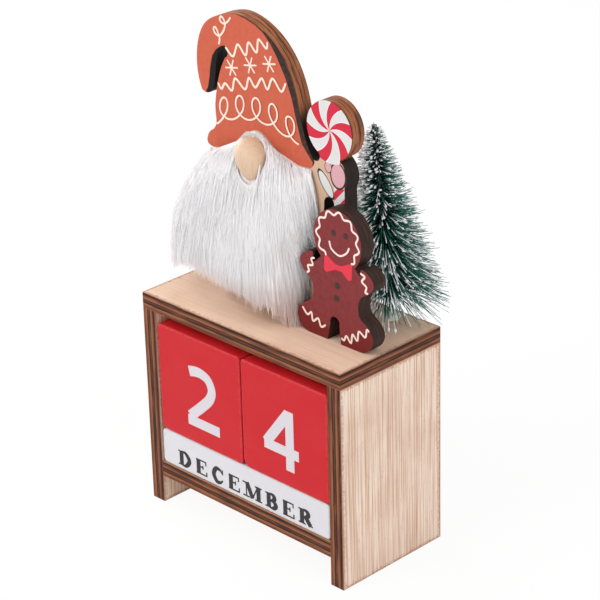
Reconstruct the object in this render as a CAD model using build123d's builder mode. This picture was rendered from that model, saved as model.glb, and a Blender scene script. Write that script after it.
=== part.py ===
"""Block calendar: a small plywood cabinet holds two date cubes and three month bars.

A cut-out gnome with a fur beard, a gingerbread figure and a bottle-brush tree stand on its top board.
Millimetres. X runs along the front, Y towards the back, Z up.
The origin is on the table, at the centre of the cabinet's footprint.
"""
import os
from math import cos, radians, sin, sqrt

from build123d import *

# Plywood and blocks
ply = 5.0
cube_side = 35.0
cube_round = 1.1
cube_heel_round = 2.6
bar_side = 11.5
bar_round = 1.5
rim_round = 0.5
bar_count = 3

# Room around the blocks
side_gap = 0.5
cube_gap = 0.5
bar_end_gap = 0.35
slip = 0.15
head_room = 3.6
front_recess = 0.3
rear_room = 6.2
leg_height = 9.1

# Cabinet sizes that follow from the blocks
inner_width = 2 * (cube_side + side_gap) + cube_gap
width = inner_width + 2 * ply
depth = front_recess + cube_side + rear_room
front_y = -depth / 2
block_front_y = front_y + front_recess
shelf_top = leg_height + ply
bar_bottom = shelf_top + slip
cube_bottom = bar_bottom + bar_side + slip
board_bottom = cube_bottom + cube_side + head_room
board_top = board_bottom + ply

# Where the decorations stand, one behind the other
ginger_set_back = 13.95
ginger_front = front_y + ginger_set_back
ginger_back = ginger_front + ply
gnome_front = ginger_back
gnome_back = gnome_front + ply
touch_gap = 0.3

# Gnome cut-out: outline points are shares of the brim's span and of the figure's height
gnome_x = -8.6
brim_span = 43.0
gnome_height = 87.0
crown_shares = [
    (-0.530, 0.701), (-0.558, 0.852), (-0.470, 0.940), (-0.309, 0.984), (-0.190, 0.999), (-0.033, 0.991),
    (0.109, 0.961), (0.253, 0.898), (0.360, 0.800), (0.412, 0.700), (0.437, 0.657), (0.502, 0.593),
]
slot_end_share = (0.540, 0.584)
hat_left_shares = [(-0.402, 0.598), (-0.405, 0.640), (-0.388, 0.710), (-0.335, 0.797), (-0.290, 0.838)]
notch_shares = [
    (-0.267, 0.866), (-0.288, 0.878), (-0.345, 0.863), (-0.372, 0.828), (-0.386, 0.791), (-0.398, 0.752),
    (-0.426, 0.711),
]
brim_left_shares = [(-0.440, 0.506), (-0.496, 0.519), (-0.491, 0.541), (-0.441, 0.568)]
hook_tip_share = (-0.478, 0.695)
body_left_shares = [(-0.345, 0.503), (-0.370, 0.230), (-0.270, 0.0)]
body_right_shares = [(0.480, 0.0), (0.560, 0.230), (0.605, 0.455)]

# Lollipop at the gnome's right, cut from the same plate
candy_radius = 8.7
candy_centre_share = (0.663, 0.703)
candy_start_angle = 240.0
candy_end_angle = -65.0
stick_width = 4.1
stick_x_share = 0.743
bow_bulge = 0.9
bow_low_share = 0.513
bow_mid_share = 0.563
notch_top_share = 0.474

# Beard: cloth on the plate's face, with a fur pile in front of it
cloth = 1.0
cloth_shares = [
    (-0.270, 0.004), (0.395, 0.004), (0.450, 0.300), (0.530, 0.460), (0.420, 0.540), (0.120, 0.580),
    (0.0, 0.613), (-0.100, 0.605), (-0.240, 0.535), (-0.340, 0.510), (-0.345, 0.230),
]
pile_depth = 11.0
pile_station_shares = (0.08, 0.46, 0.83)
# Each row: height, left and right end as shares of height and span, then the depth at three stations
pile_shares = [
    (0.004, -0.340, 0.395, 0.10, 0.22, 0.80), (0.052, -0.430, 0.395, 0.16, 0.30, 0.90),
    (0.088, -0.700, 0.398, 0.52, 0.88, 0.97), (0.120, -0.738, 0.402, 0.63, 1.00, 0.96),
    (0.253, -0.695, 0.420, 0.64, 0.92, 0.82), (0.380, -0.600, 0.480, 0.55, 0.78, 0.64),
    (0.483, -0.470, 0.510, 0.42, 0.60, 0.44), (0.540, -0.340, 0.440, 0.28, 0.40, 0.30),
    (0.600, -0.160, 0.160, 0.12, 0.16, 0.12),
]

# Nose: an egg-shaped wooden bead with a flat back
nose_width = 10.3
nose_height = 13.2
nose_bed = 2.6
nose_share = (0.040, 0.532)
# Each ring: height from the middle and radius, as shares of half the height and half the width
nose_ring_shares = [
    (-1.0, 0.18), (-0.96, 0.34), (-0.85, 0.54), (-0.65, 0.73), (-0.35, 0.91), (0.0, 0.99), (0.25, 1.0),
    (0.55, 0.92), (0.80, 0.72), (0.94, 0.46), (1.0, 0.22),
]

# Gingerbread cut-out: outline points are shares of the arm span and of the neck's height
ginger_x = 25.2
ginger_span = 28.6
ginger_height = 41.0
ginger_lean_share = 0.06
ginger_head_radius = 9.2
neck_angle = -45.0
ginger_side_shares = [
    (0.315, 0.0), (0.478, 0.078), (0.514, 0.226), (0.425, 0.352), (0.330, 0.430), (0.306, 0.535),
    (0.346, 0.680), (0.430, 0.744), (0.500, 0.866), (0.432, 0.978), (0.320, 0.988),
]
ginger_crotch_shares = [(0.091, 0.0), (0.062, 0.222), (0.0, 0.316)]
ginger_head_height = ginger_height - ginger_head_radius
ginger_neck_height = ginger_head_height + ginger_head_radius * sin(radians(neck_angle))

# Bottle-brush tree
tree_x = 25.5
tree_set_back = 12.8
tree_y = gnome_back + tree_set_back
tree_height = 58.0
tree_radius = 17.2
tree_tip_radius = 1.6
tree_lean = 5.4
tree_crown_power = 0.95
tree_ripple_share = 0.06
tree_ripple_step = 3.0
stem_radius = 0.75
stem_fit = 0.1
stem_seat_share = 0.75
sleeve_wall = 0.5
strand_count = 420
strand_radius = 0.3
strand_sides = 3
strand_foot = 5.0
strand_droop = 2.4
strand_droop_power = 3
strand_lift = 2.0
turn_angle = 137.508

# Hot-melt glue that holds the decorations down
glue_leg = 2.6
glue_sag_share = 0.42
glue_inset = 3.0
collar_radius = 3.2
collar_height = 2.2

os.makedirs("parts", exist_ok=True)


def write(piece, label):
    """Labels a finished piece and writes it as its own file."""
    piece.part.label = label
    export_step(piece.part, "parts/" + label + ".step")


def standing(y):
    """Upright plane at depth y that faces the front, with its zero line on the top board."""
    return Plane(origin=(0, y, board_top), x_dir=(1, 0, 0), z_dir=(0, -1, 0))


def gnome_point(share):
    """A point of the gnome's outline from its share of span and height."""
    return (gnome_x + share[0] * brim_span, share[1] * gnome_height)


def ginger_point(share, side=1):
    """A point of the gingerbread's outline, which leans a little to the right as it rises."""
    height = share[1] * ginger_neck_height
    return (ginger_x + side * share[0] * ginger_span + ginger_lean_share * height, height)


def around(centre, radius, angle):
    """The point on a circle at an angle in degrees."""
    return (centre[0] + radius * cos(radians(angle)), centre[1] + radius * sin(radians(angle)))


def worn_block(centre_x, front, bottom, length, side, corner_round, heel_round):
    """A painted block with rounded corners in front view, the lower left one more worn, and soft rims."""
    behind = Plane(origin=(centre_x, front + side, bottom + side / 2), x_dir=(1, 0, 0), z_dir=(0, -1, 0))
    with BuildPart() as block:
        with BuildSketch(behind) as view:
            Rectangle(length, side)
            heel = view.vertices().group_by(Axis.X)[0].sort_by(Axis.Y)[0]
            fillet([corner for corner in view.vertices() if corner != heel], corner_round)
            fillet(view.vertices().group_by(Axis.X)[0].sort_by(Axis.Y)[0], heel_round)
        extrude(amount=side)
        fillet(block.faces().filter_by(Axis.Y).edges(), rim_round)
    return block


# Cabinet boards: the top board lies on both sides, and the shelf sits between them
with BuildPart() as left_side_panel:
    with BuildSketch(Plane.XY):
        with Locations((-(inner_width + ply) / 2, 0)):
            Rectangle(ply, depth)
    extrude(amount=board_bottom)
write(left_side_panel, "left_side_panel")

with BuildPart() as right_side_panel:
    with BuildSketch(Plane.XY):
        with Locations(((inner_width + ply) / 2, 0)):
            Rectangle(ply, depth)
    extrude(amount=board_bottom)
write(right_side_panel, "right_side_panel")

with BuildPart() as shelf_board:
    with BuildSketch(Plane.XY.offset(leg_height)):
        Rectangle(inner_width, depth)
    extrude(amount=ply)
write(shelf_board, "shelf_board")

# The tree leans to the left about the point where its stem meets the board
tree_plane = Plane(
    origin=(tree_x, tree_y, board_top),
    x_dir=(cos(radians(tree_lean)), 0, sin(radians(tree_lean))),
    z_dir=(-sin(radians(tree_lean)), 0, cos(radians(tree_lean))),
)
stem_seat = stem_seat_share * ply
stem_bore_radius = stem_radius + stem_fit

with BuildPart() as top_board:
    with BuildSketch(Plane.XY.offset(board_bottom)):
        Rectangle(width, depth)
    extrude(amount=ply)
    with BuildSketch(tree_plane.offset(-stem_seat)):
        Circle(stem_bore_radius)
    extrude(amount=2 * stem_seat, mode=Mode.SUBTRACT)
write(top_board, "top_board")

# Date cubes, side by side on the month bars
cube_offset = (cube_side + cube_gap) / 2
for cube_label, cube_x in (("date_cube_left", -cube_offset), ("date_cube_right", cube_offset)):
    date_cube = worn_block(
        cube_x, block_front_y, cube_bottom, cube_side, cube_side, cube_round, cube_heel_round
    )
    write(date_cube, cube_label)

# Month bars, one behind the other on the shelf
bar_length = inner_width - 2 * bar_end_gap
for row, bar_label in zip(range(bar_count), ("month_bar_front", "month_bar_middle", "month_bar_rear")):
    bar_front_y = block_front_y + row * (bar_side + slip)
    month_bar = worn_block(0, bar_front_y, bar_bottom, bar_length, bar_side, bar_round, bar_round)
    write(month_bar, bar_label)

# Gnome plate: hat, body and lollipop in one outline
candy_centre = gnome_point(candy_centre_share)
candy_start = around(candy_centre, candy_radius, candy_start_angle)
candy_end = around(candy_centre, candy_radius, candy_end_angle)
candy_top = around(candy_centre, candy_radius, (candy_start_angle + candy_end_angle) / 2)
stick_x = gnome_x + stick_x_share * brim_span
stick_left = stick_x - stick_width / 2
stick_right = stick_x + stick_width / 2
bow_low = (stick_right, bow_low_share * gnome_height)
bow_mid = (stick_right + bow_bulge, bow_mid_share * gnome_height)
body_right = [gnome_point(share) for share in body_right_shares]
notch_side = body_right[-1][1]
notch_top = ((stick_left + body_right[-1][0]) / 2, notch_top_share * gnome_height)

with BuildPart() as gnome_plate:
    with BuildSketch(standing(gnome_back)):
        with BuildLine():
            crown = Spline(*[gnome_point(share) for share in crown_shares])
            ThreePointArc(crown @ 1, gnome_point(slot_end_share), candy_start)
            ThreePointArc(candy_start, candy_top, candy_end)
            ThreePointArc(candy_end, bow_mid, bow_low)
            Polyline(bow_low, (stick_right, 0), (stick_left, 0), (stick_left, notch_side))
            ThreePointArc((stick_left, notch_side), notch_top, body_right[-1])
            Spline(*reversed(body_right))
            body_left = Spline(*[gnome_point(share) for share in body_left_shares])
            Line(body_right[0], body_left @ 1)
            brim_left = Spline(body_left @ 0, *[gnome_point(share) for share in brim_left_shares])
            hat_left = Spline(brim_left @ 1, *[gnome_point(share) for share in hat_left_shares])
            notch = Spline(hat_left @ 1, *[gnome_point(share) for share in notch_shares])
            ThreePointArc(notch @ 1, gnome_point(hook_tip_share), crown @ 0)
        make_face()
    extrude(amount=ply)
write(gnome_plate, "gnome_plate")

# Beard cloth, glued to the plate below the brim
cloth_front = gnome_front - cloth
with BuildPart() as beard_backing:
    with BuildSketch(standing(gnome_front)):
        with BuildLine():
            Polyline(*[gnome_point(share) for share in cloth_shares], close=True)
        make_face()
    extrude(amount=cloth)
write(beard_backing, "beard_backing")

# Nose bead: an egg built up from rings and cut flat at the cloth
nose_x, nose_z = gnome_point(nose_share)


def nose_solid(extra):
    """The bead, grown by an extra thickness all round but for its flat back."""
    nose_y = cloth_front - nose_bed
    with BuildPart() as bead:
        for height_share, radius_share in nose_ring_shares:
            ring_z = board_top + nose_z + height_share * (nose_height / 2 + extra)
            with BuildSketch(Plane(origin=(nose_x, nose_y, ring_z))):
                Circle(radius_share * nose_width / 2 + extra)
        loft(ruled=True)
        split(bisect_by=Plane(origin=(0, cloth_front, 0), z_dir=(0, -1, 0)))
    return bead


nose_bead = nose_solid(0)
write(nose_bead, "nose_bead")

# Beard pile: flat on the cloth, rounded in front, with a hollow for the nose
nose_room = nose_solid(touch_gap)
with BuildPart() as beard_pile:
    for height, left, right, *depths in pile_shares:
        level = Plane(origin=(gnome_x, cloth_front, board_top + height * gnome_height))
        left_end = (left * brim_span, 0)
        right_end = (right * brim_span, 0)
        stations = [left_end[0] + share * (right - left) * brim_span for share in pile_station_shares]
        crest = [(station, -share * pile_depth) for station, share in zip(stations, depths)]
        with BuildSketch(level):
            with BuildLine():
                Line(left_end, right_end)
                Spline(left_end, *crest, right_end)
            make_face()
    loft(ruled=True)
    add(nose_room.part, mode=Mode.SUBTRACT)
write(beard_pile, "beard_pile")

# Gingerbread plate
head_centre = (ginger_x + ginger_lean_share * ginger_head_height, ginger_head_height)
neck_right = around(head_centre, ginger_head_radius, neck_angle)
neck_left = around(head_centre, ginger_head_radius, 180 - neck_angle)
head_top = around(head_centre, ginger_head_radius, 90)
into_right = around((0, 0), 1, 180 + neck_angle)
into_left = around((0, 0), 1, -neck_angle)

with BuildPart() as gingerbread_plate:
    with BuildSketch(standing(ginger_back)):
        with BuildLine():
            right_points = [ginger_point(share) for share in ginger_side_shares]
            left_points = [ginger_point(share, -1) for share in ginger_side_shares]
            Spline(*right_points, neck_right, tangents=((1, 0), into_right))
            Spline(*left_points, neck_left, tangents=((-1, 0), into_left))
            ThreePointArc(neck_right, head_top, neck_left)
            foot_right, knee_right, crotch = [ginger_point(share) for share in ginger_crotch_shares]
            foot_left, knee_left = [ginger_point(share, -1) for share in ginger_crotch_shares[:-1]]
            Polyline(right_points[0], foot_right, knee_right)
            ThreePointArc(knee_right, crotch, knee_left)
            Polyline(knee_left, foot_left, left_points[0])
        make_face()
    extrude(amount=ply)
write(gingerbread_plate, "gingerbread_plate")

# Tree stem, seated in the board's hole
stem_length = stem_seat + tree_height
with BuildPart() as tree_stem:
    with BuildSketch(tree_plane.offset(-stem_seat)):
        Circle(stem_radius)
    extrude(amount=stem_length)
write(tree_stem, "tree_stem")

# Tree bristles: strands on a spiral, fused to the sleeve that grips the stem
sleeve_inner = stem_radius + stem_fit
sleeve_outer = sleeve_inner + sleeve_wall
strand_rise = tree_height - strand_foot - strand_radius
front_reach = tree_set_back - touch_gap - strand_radius
strands = []
for index in range(strand_count):
    climb = (index + 1) / (strand_count + 1)
    strand_height = strand_foot + climb * strand_rise
    angle = radians(index * turn_angle)
    reach = tree_tip_radius + (tree_radius - tree_tip_radius) * (1 - climb) ** tree_crown_power
    reach *= 1 - tree_ripple_share * (1 + sin(index * tree_ripple_step))
    if sin(angle) < 0:
        reach = min(reach, front_reach / -sin(angle))
    drop = strand_droop * (1 - climb) ** strand_droop_power - strand_lift * climb * reach / tree_radius
    outward = Vector(cos(angle), sin(angle), -drop / reach)
    root_radius = (sleeve_inner + sleeve_outer) / 2
    root = Vector(root_radius * cos(angle), root_radius * sin(angle), strand_height)
    start = tree_plane.from_local_coords(root)
    heading = tree_plane.from_local_coords(root + outward) - start
    section = Plane(origin=start, z_dir=heading) * RegularPolygon(strand_radius, strand_sides)
    strands.append(extrude(section, amount=(reach - root_radius) * outward.length))

with BuildPart() as tree_bristles:
    with BuildSketch(tree_plane.offset(strand_foot - strand_radius)):
        Circle(sleeve_outer)
        Circle(sleeve_inner, mode=Mode.SUBTRACT)
    extrude(amount=strand_rise + strand_radius)
    add(strands)
write(tree_bristles, "tree_bristles")

# Hot-melt glue: a fillet behind each cut-out's foot and a collar round the stem
body_foot_left = gnome_point(body_left_shares[-1])[0]
body_foot_right = body_right[0][0]
ginger_foot_right = ginger_point(ginger_side_shares[0])[0]
glue_spans = {
    "gnome_glue": [(gnome_back, body_foot_left + glue_inset, body_foot_right - glue_inset)],
    "gingerbread_glue": [
        (ginger_back, body_foot_right + glue_inset / 2, stick_left - glue_inset / 2),
        (ginger_back, stick_right + glue_inset, ginger_foot_right + glue_inset / 2),
    ],
}
glue_sag = glue_sag_share * glue_leg
for glue_label, spans in glue_spans.items():
    with BuildPart() as glue:
        for face_y, left_x, right_x in spans:
            across = Plane(origin=(left_x, face_y, board_top), x_dir=(0, 1, 0), z_dir=(1, 0, 0))
            with BuildSketch(across):
                with BuildLine():
                    Line((0, 0), (glue_leg, 0))
                    ThreePointArc((glue_leg, 0), (glue_sag, glue_sag), (0, glue_leg))
                    Line((0, glue_leg), (0, 0))
                make_face()
            extrude(amount=right_x - left_x)
    write(glue, glue_label)

collar_shoulder = (collar_radius / sqrt(2), collar_height / sqrt(2))
with BuildPart() as tree_glue:
    with BuildSketch(Plane(origin=(tree_x, tree_y, board_top), x_dir=(1, 0, 0), z_dir=(0, -1, 0))):
        with BuildLine():
            Line((0, 0), (collar_radius, 0))
            ThreePointArc((collar_radius, 0), collar_shoulder, (0, collar_height))
            Line((0, collar_height), (0, 0))
        make_face()
    revolve(axis=Axis((tree_x, tree_y, board_top), (0, 0, 1)))
    with BuildSketch(tree_plane.offset(-collar_height)):
        Circle(stem_bore_radius)
    extrude(amount=2 * collar_height + stem_bore_radius, mode=Mode.SUBTRACT)
write(tree_glue, "tree_glue")
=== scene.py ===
"""Looks of a block calendar: painted blocks in a plywood cabinet, with winter figures on top.

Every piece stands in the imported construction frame, in metres: +X runs to the right along the
front, +Y to the back and +Z up. Drawings on a face are written down in millimetres.
"""
from math import ceil, copysign, cos, exp, pi, radians, sin, sqrt

import bmesh
import bpy
import numpy as np
from bpy.props import FloatProperty, FloatVectorProperty, IntProperty, PointerProperty
from mathutils import Matrix, Vector, noise
from mathutils.bvhtree import BVHTree
from mathutils.kdtree import KDTree


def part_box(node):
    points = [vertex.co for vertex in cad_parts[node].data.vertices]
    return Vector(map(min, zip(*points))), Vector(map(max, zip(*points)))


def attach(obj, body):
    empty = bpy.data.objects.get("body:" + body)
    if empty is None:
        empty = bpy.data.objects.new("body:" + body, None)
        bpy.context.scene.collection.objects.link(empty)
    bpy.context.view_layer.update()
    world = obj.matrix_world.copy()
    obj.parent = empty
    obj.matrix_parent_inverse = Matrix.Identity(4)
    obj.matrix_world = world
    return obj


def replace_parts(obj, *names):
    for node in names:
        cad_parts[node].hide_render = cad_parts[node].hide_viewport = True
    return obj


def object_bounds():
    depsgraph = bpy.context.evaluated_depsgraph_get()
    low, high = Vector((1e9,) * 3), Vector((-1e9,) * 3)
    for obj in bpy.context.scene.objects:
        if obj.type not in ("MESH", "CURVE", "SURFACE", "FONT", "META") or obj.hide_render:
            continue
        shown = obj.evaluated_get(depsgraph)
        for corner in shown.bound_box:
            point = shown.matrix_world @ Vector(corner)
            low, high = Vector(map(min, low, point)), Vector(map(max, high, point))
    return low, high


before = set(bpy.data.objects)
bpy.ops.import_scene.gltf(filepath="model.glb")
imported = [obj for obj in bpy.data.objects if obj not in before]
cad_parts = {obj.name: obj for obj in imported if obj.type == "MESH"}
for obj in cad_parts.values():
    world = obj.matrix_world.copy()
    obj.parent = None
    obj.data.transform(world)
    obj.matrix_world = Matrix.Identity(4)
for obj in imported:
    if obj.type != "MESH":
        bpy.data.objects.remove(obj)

bl_info = {
    "name": "Block Calendar",
    "version": (1, 0, 0),
    "blender": (4, 5, 0),
    "location": "View3D > Sidebar > Calendar",
    "description": "Finishes, prints, fur and bristles of a block calendar",
    "category": "Add Mesh",
}

CAD_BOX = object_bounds()
MM = 0.001
RIGHT = Vector((1, 0, 0))
BACK = Vector((0, 1, 0))
UP = Vector((0, 0, 1))
GOLDEN_TURN = pi * (3 - sqrt(5))

# Planes that the drawings and the soft pieces stand on
BOARD_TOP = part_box("top_board")[1].z
GNOME_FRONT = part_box("gnome_plate")[0].y
GNOME_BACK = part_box("gnome_plate")[1].y
GINGER_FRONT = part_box("gingerbread_plate")[0].y
GINGER_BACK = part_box("gingerbread_plate")[1].y


def srgb(red, green, blue):
    """Linear colour of a screen colour from 0 to 255."""
    shares = [value / 255 for value in (red, green, blue)]
    linear = [share / 12.92 if share <= 0.04045 else ((share + 0.055) / 1.055) ** 2.4 for share in shares]
    return (*linear, 1.0)


def colour(name, description, red, green, blue):
    """Property of one finish's colour."""
    return FloatVectorProperty(
        name=name, description=description, subtype="COLOR", size=4, min=0, max=1,
        default=srgb(red, green, blue),
    )


def length(name, description, millimetres):
    """Property of one length."""
    return FloatProperty(
        name=name, description=description, subtype="DISTANCE", unit="LENGTH", min=0, default=millimetres * MM
    )


def number(name, description, default):
    """Property of a number of like things."""
    return IntProperty(name=name, description=description, min=1, default=default)


def swing(name, description, degrees):
    """Property of one angle."""
    return FloatProperty(name=name, description=description, subtype="ANGLE", default=radians(degrees))


def watts(name, description, default):
    """Property of a lamp's power."""
    return FloatProperty(name=name, description=description, subtype="POWER", min=0, default=default)


class CabinetLook(bpy.types.PropertyGroup):
    """Colours of the plywood cabinet"""

    # One plywood in three tones that paint the light on each board: the sides palest, the top between, the
    # shelf darkest as painted shade
    top_veneer_painted_light: colour("Top veneer", "Face of the top board", 234, 202, 178)
    side_veneer_painted_light: colour("Side veneer", "Outer faces of the sides", 240, 219, 202)
    shelf_veneer_painted_shade: colour("Shelf veneer", "Faces of the shelf", 216, 180, 148)
    grain: colour("Grain", "Darker streaks of the veneer", 186, 134, 102)
    scorch: colour("Scorch", "Burnt lines of a cut edge", 36, 18, 13)
    core: colour("Core", "Brown layers of a cut edge", 98, 54, 35)
    ember: colour("Ember", "Paler layers of a cut edge", 156, 98, 66)


class BlockLook(bpy.types.PropertyGroup):
    """Colours and lettering of the date cubes and month bars"""

    cube_paint: colour("Cube paint", "Paint of the date cubes", 197, 24, 34)
    # Paler than the paint: rubbed wear, and a painted highlight along the rounded edges
    cube_wear_and_highlight: colour("Cube wear", "Rubbed edges of the date cubes", 214, 84, 88)
    bar_paint: colour("Bar paint", "Paint of the month bars", 216, 215, 220)
    bar_wear: colour("Bar wear", "Rubbed edges of the month bars", 198, 194, 192)
    numeral_paint: colour("Numerals", "Paint of the digits", 211, 208, 214)
    month_ink: colour("Month ink", "Ink of the month names", 22, 20, 22)
    numeral_stroke: length("Numeral stroke", "Width of a digit's stroke", 3.3)
    letter_height: length("Letter height", "Height of a month's capital letters", 4.9)
    print_depth: length("Print depth", "Thickness of the printed digits and names", 0.05)


class GnomeLook(bpy.types.PropertyGroup):
    """Colours of the gnome's print"""

    hat: colour("Hat", "Print of the hat", 199, 95, 70)
    margin: colour("Margin", "Dark border right of the hat's print", 46, 34, 31)
    icing: colour("Lines", "Pale lines of the hat", 243, 222, 206)
    body: colour("Body", "Bare wood below the hat", 208, 174, 148)
    candy_red: colour("Candy red", "Red of the lollipop", 205, 42, 66)
    candy_white: colour("Candy white", "Pale petals of the lollipop", 216, 216, 214)
    candy_line: colour("Candy line", "Bright outline of the petals", 244, 242, 240)
    bow: colour("Bow", "Pink ribbon under the lollipop", 214, 164, 170)
    outline: colour("Outline", "Dark line round the ribbon", 48, 32, 34)
    scorch: colour("Scorch", "Burnt lines of the cut edge", 50, 32, 26)
    core: colour("Core", "Brown layers of the cut edge", 156, 94, 60)
    line_width: length("Line width", "Width of the hat's lines", 0.70)
    nose: colour("Nose", "Sanded wood of the nose", 214, 184, 156)


class GingerbreadLook(bpy.types.PropertyGroup):
    """Colours of the gingerbread figure's print"""

    dough: colour("Dough", "Body of the figure", 130, 50, 52)
    feet: colour("Feet", "Feet below the cuffs", 114, 32, 31)
    icing: colour("Icing", "Pale icing lines", 250, 226, 216)
    tie: colour("Bow tie", "Red bow tie", 225, 36, 64)
    eyes: colour("Eyes", "Eyes and buttons", 46, 20, 22)
    scorch: colour("Scorch", "Burnt cut edge", 40, 24, 20)
    line_width: length("Line width", "Width of the icing lines", 0.62)


class BeardLook(bpy.types.PropertyGroup):
    """Fur of the beard"""

    fur: colour("Fur", "Tips of the fur", 251, 250, 251)
    root: colour("Root", "Shaded roots of the fur", 238, 233, 234)
    strands: number("Strands", "Number of hairs", 24000)
    brow_strands: number("Brow strands", "Short hairs under the hat's edge", 3000)
    rim_strands: number("Rim strands", "Short hairs below the nose", 1600)
    under_strands: number("Under strands", "Hairs below the fringe", 2600)
    hair_length: length("Hair length", "Mean length of a hair", 19.0)
    brow_length: length("Brow length", "Mean length of a short hair", 6.0)
    hair_radius: length("Hair radius", "Radius of a hair at its root", 0.070)
    seed: IntProperty(name="Seed", description="Seed of the fur's random choices", default=11)


class TreeLook(bpy.types.PropertyGroup):
    """Bristles of the tree"""

    bristle: colour("Bristle", "Dyed bristles", 38, 110, 96)
    # Darker bristles near the wire are painted shade deep inside the tree
    inner: colour("Inner bristle", "Bristles near the wire", 14, 42, 39)
    frost: colour("Frost", "White flock on the tips", 240, 242, 246)
    wire: colour("Wire", "Twisted wire of the stem", 120, 122, 118)
    bristles: number("Bristles", "Number of bristles", 2300)
    flakes: number("Flakes", "Number of lumps of flock", 900)
    bristle_radius: length("Bristle radius", "Radius of a bristle at its root", 0.14)
    seed: IntProperty(name="Seed", description="Seed of the tree's random choices", default=23)


class StageLook(bpy.types.PropertyGroup):
    """Floor, lights and camera"""

    floor: colour("Floor", "Floor and backdrop", 246, 246, 246)
    eye: FloatVectorProperty(
        name="Eye", description="Place of the camera", subtype="TRANSLATION", unit="LENGTH", size=3,
        default=(0.4637, -0.4500, 0.3749),
    )
    azimuth: swing("Azimuth", "Turn of the camera round the object", 45.56)
    elevation: swing("Elevation", "Rise of the camera", 25.10)
    roll: swing("Roll", "Tilt of the camera about its axis", -1.54)
    lens: FloatProperty(name="Lens", description="Focal length of the camera", unit="CAMERA", default=147.05)
    key_power: watts("Key light", "Power of the key light", 9.0)
    fill_power: watts("Fill light", "Power of the fill light", 6.0)
    rim_power: watts("Rim light", "Power of the light at the left", 9.0)
    sky: FloatProperty(
        name="Sky", description="Strength of the even light", subtype="FACTOR", min=0, max=1, default=0.48
    )


# Second colours of the finishes, which their noises and masks bring in
NUMERAL_SHADE = srgb(226, 190, 194)
MONTH_SHADE = srgb(70, 66, 68)
WOOD_FIBRE = srgb(176, 130, 98)
BARE_WOOD = srgb(224, 190, 158)
HAT_SHADE = srgb(186, 74, 48)
HAT_LIGHT = srgb(232, 140, 104)
HAT_LINE_SHADE = srgb(232, 200, 170)
MARGIN_LIGHT = srgb(84, 56, 42)
TIP_MARGIN = srgb(14, 11, 10)
PRINT_DUST = srgb(140, 96, 84)
GNOME_GLOW = srgb(190, 122, 80)
BURNT_AND_SHADED_WALL = srgb(16, 12, 11)
NOSE_RING = srgb(200, 162, 128)
NOSE_PORE = srgb(184, 138, 96)
DOUGH_SHADE = srgb(98, 40, 40)
DOUGH_CRUMB = srgb(156, 84, 76)
GINGER_CORE = srgb(44, 28, 22)
GINGER_GLOW = srgb(76, 46, 32)
ICING_SHADE = srgb(228, 190, 176)
EYE_SHADE = srgb(80, 44, 42)
TIE_SHADE = srgb(180, 24, 48)
HAIR_SHADE = srgb(236, 229, 232)
HAIR_LIGHT = srgb(255, 255, 255)
HAIR_WARM_SHADE = srgb(226, 204, 196)
LOCK_SHADE = srgb(214, 206, 208)
PILE_SHADOW = srgb(120, 106, 102)
CLOTH = srgb(228, 226, 222)
CLOTH_SHADE = srgb(196, 192, 188)
CLOTH_FUZZ = srgb(244, 242, 240)
WIRE_SHADE = srgb(60, 58, 54)
BRISTLE_SHADE = srgb(28, 72, 68)
FLOCK_SHADE = srgb(196, 206, 214)
GLUE = srgb(238, 234, 222)
GLUE_SHADE = srgb(214, 206, 188)
WHITE = (1, 1, 1, 1)


class Shade:
    """A shader socket whose arithmetic adds the Math nodes that it needs."""

    def __init__(self, finish, socket):
        self.finish = finish
        self.socket = socket

    def pick(self, output):
        """Another output of the same node."""
        return Shade(self.finish, self.socket.node.outputs[output])

    def math(self, operation, *others):
        """A Math node with this value first."""
        values = dict(enumerate((self, *others)))
        return self.finish.node("ShaderNodeMath", {"operation": operation}, values)

    def after(self, operation, first):
        """A Math node with this value second."""
        return self.finish.node("ShaderNodeMath", {"operation": operation}, {0: first, 1: self})

    def __add__(self, other):
        return self.math("ADD", other)

    def __sub__(self, other):
        return self.math("SUBTRACT", other)

    def __rsub__(self, other):
        return self.after("SUBTRACT", other)

    def __mul__(self, other):
        return self.math("MULTIPLY", other)

    def __truediv__(self, other):
        return self.math("DIVIDE", other)

    def __rtruediv__(self, other):
        return self.after("DIVIDE", other)

    def __pow__(self, other):
        return self.math("POWER", other)

    def __rpow__(self, other):
        return self.after("POWER", other)

    __radd__ = __add__
    __rmul__ = __mul__

    def __neg__(self):
        return self.math("MULTIPLY", -1.0)

    def __abs__(self):
        return self.math("ABSOLUTE")

    def __gt__(self, other):
        return self.math("GREATER_THAN", other)

    def __lt__(self, other):
        return self.math("LESS_THAN", other)

    def least(self, other):
        """The smaller of two values."""
        return self.math("MINIMUM", other)

    def most(self, other):
        """The larger of two values."""
        return self.math("MAXIMUM", other)

    def within(self, low, high):
        """1 between two values and 0 outside them."""
        return (self > low) * (self < high)

    def ramp(self, low, high):
        """Smooth rise from 0 at low to 1 at high, or a fall where low is the larger."""
        sockets = {"Value": self, "From Min": low, "From Max": high}
        return self.finish.node("ShaderNodeMapRange", {"interpolation_type": "SMOOTHSTEP"}, sockets)


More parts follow.
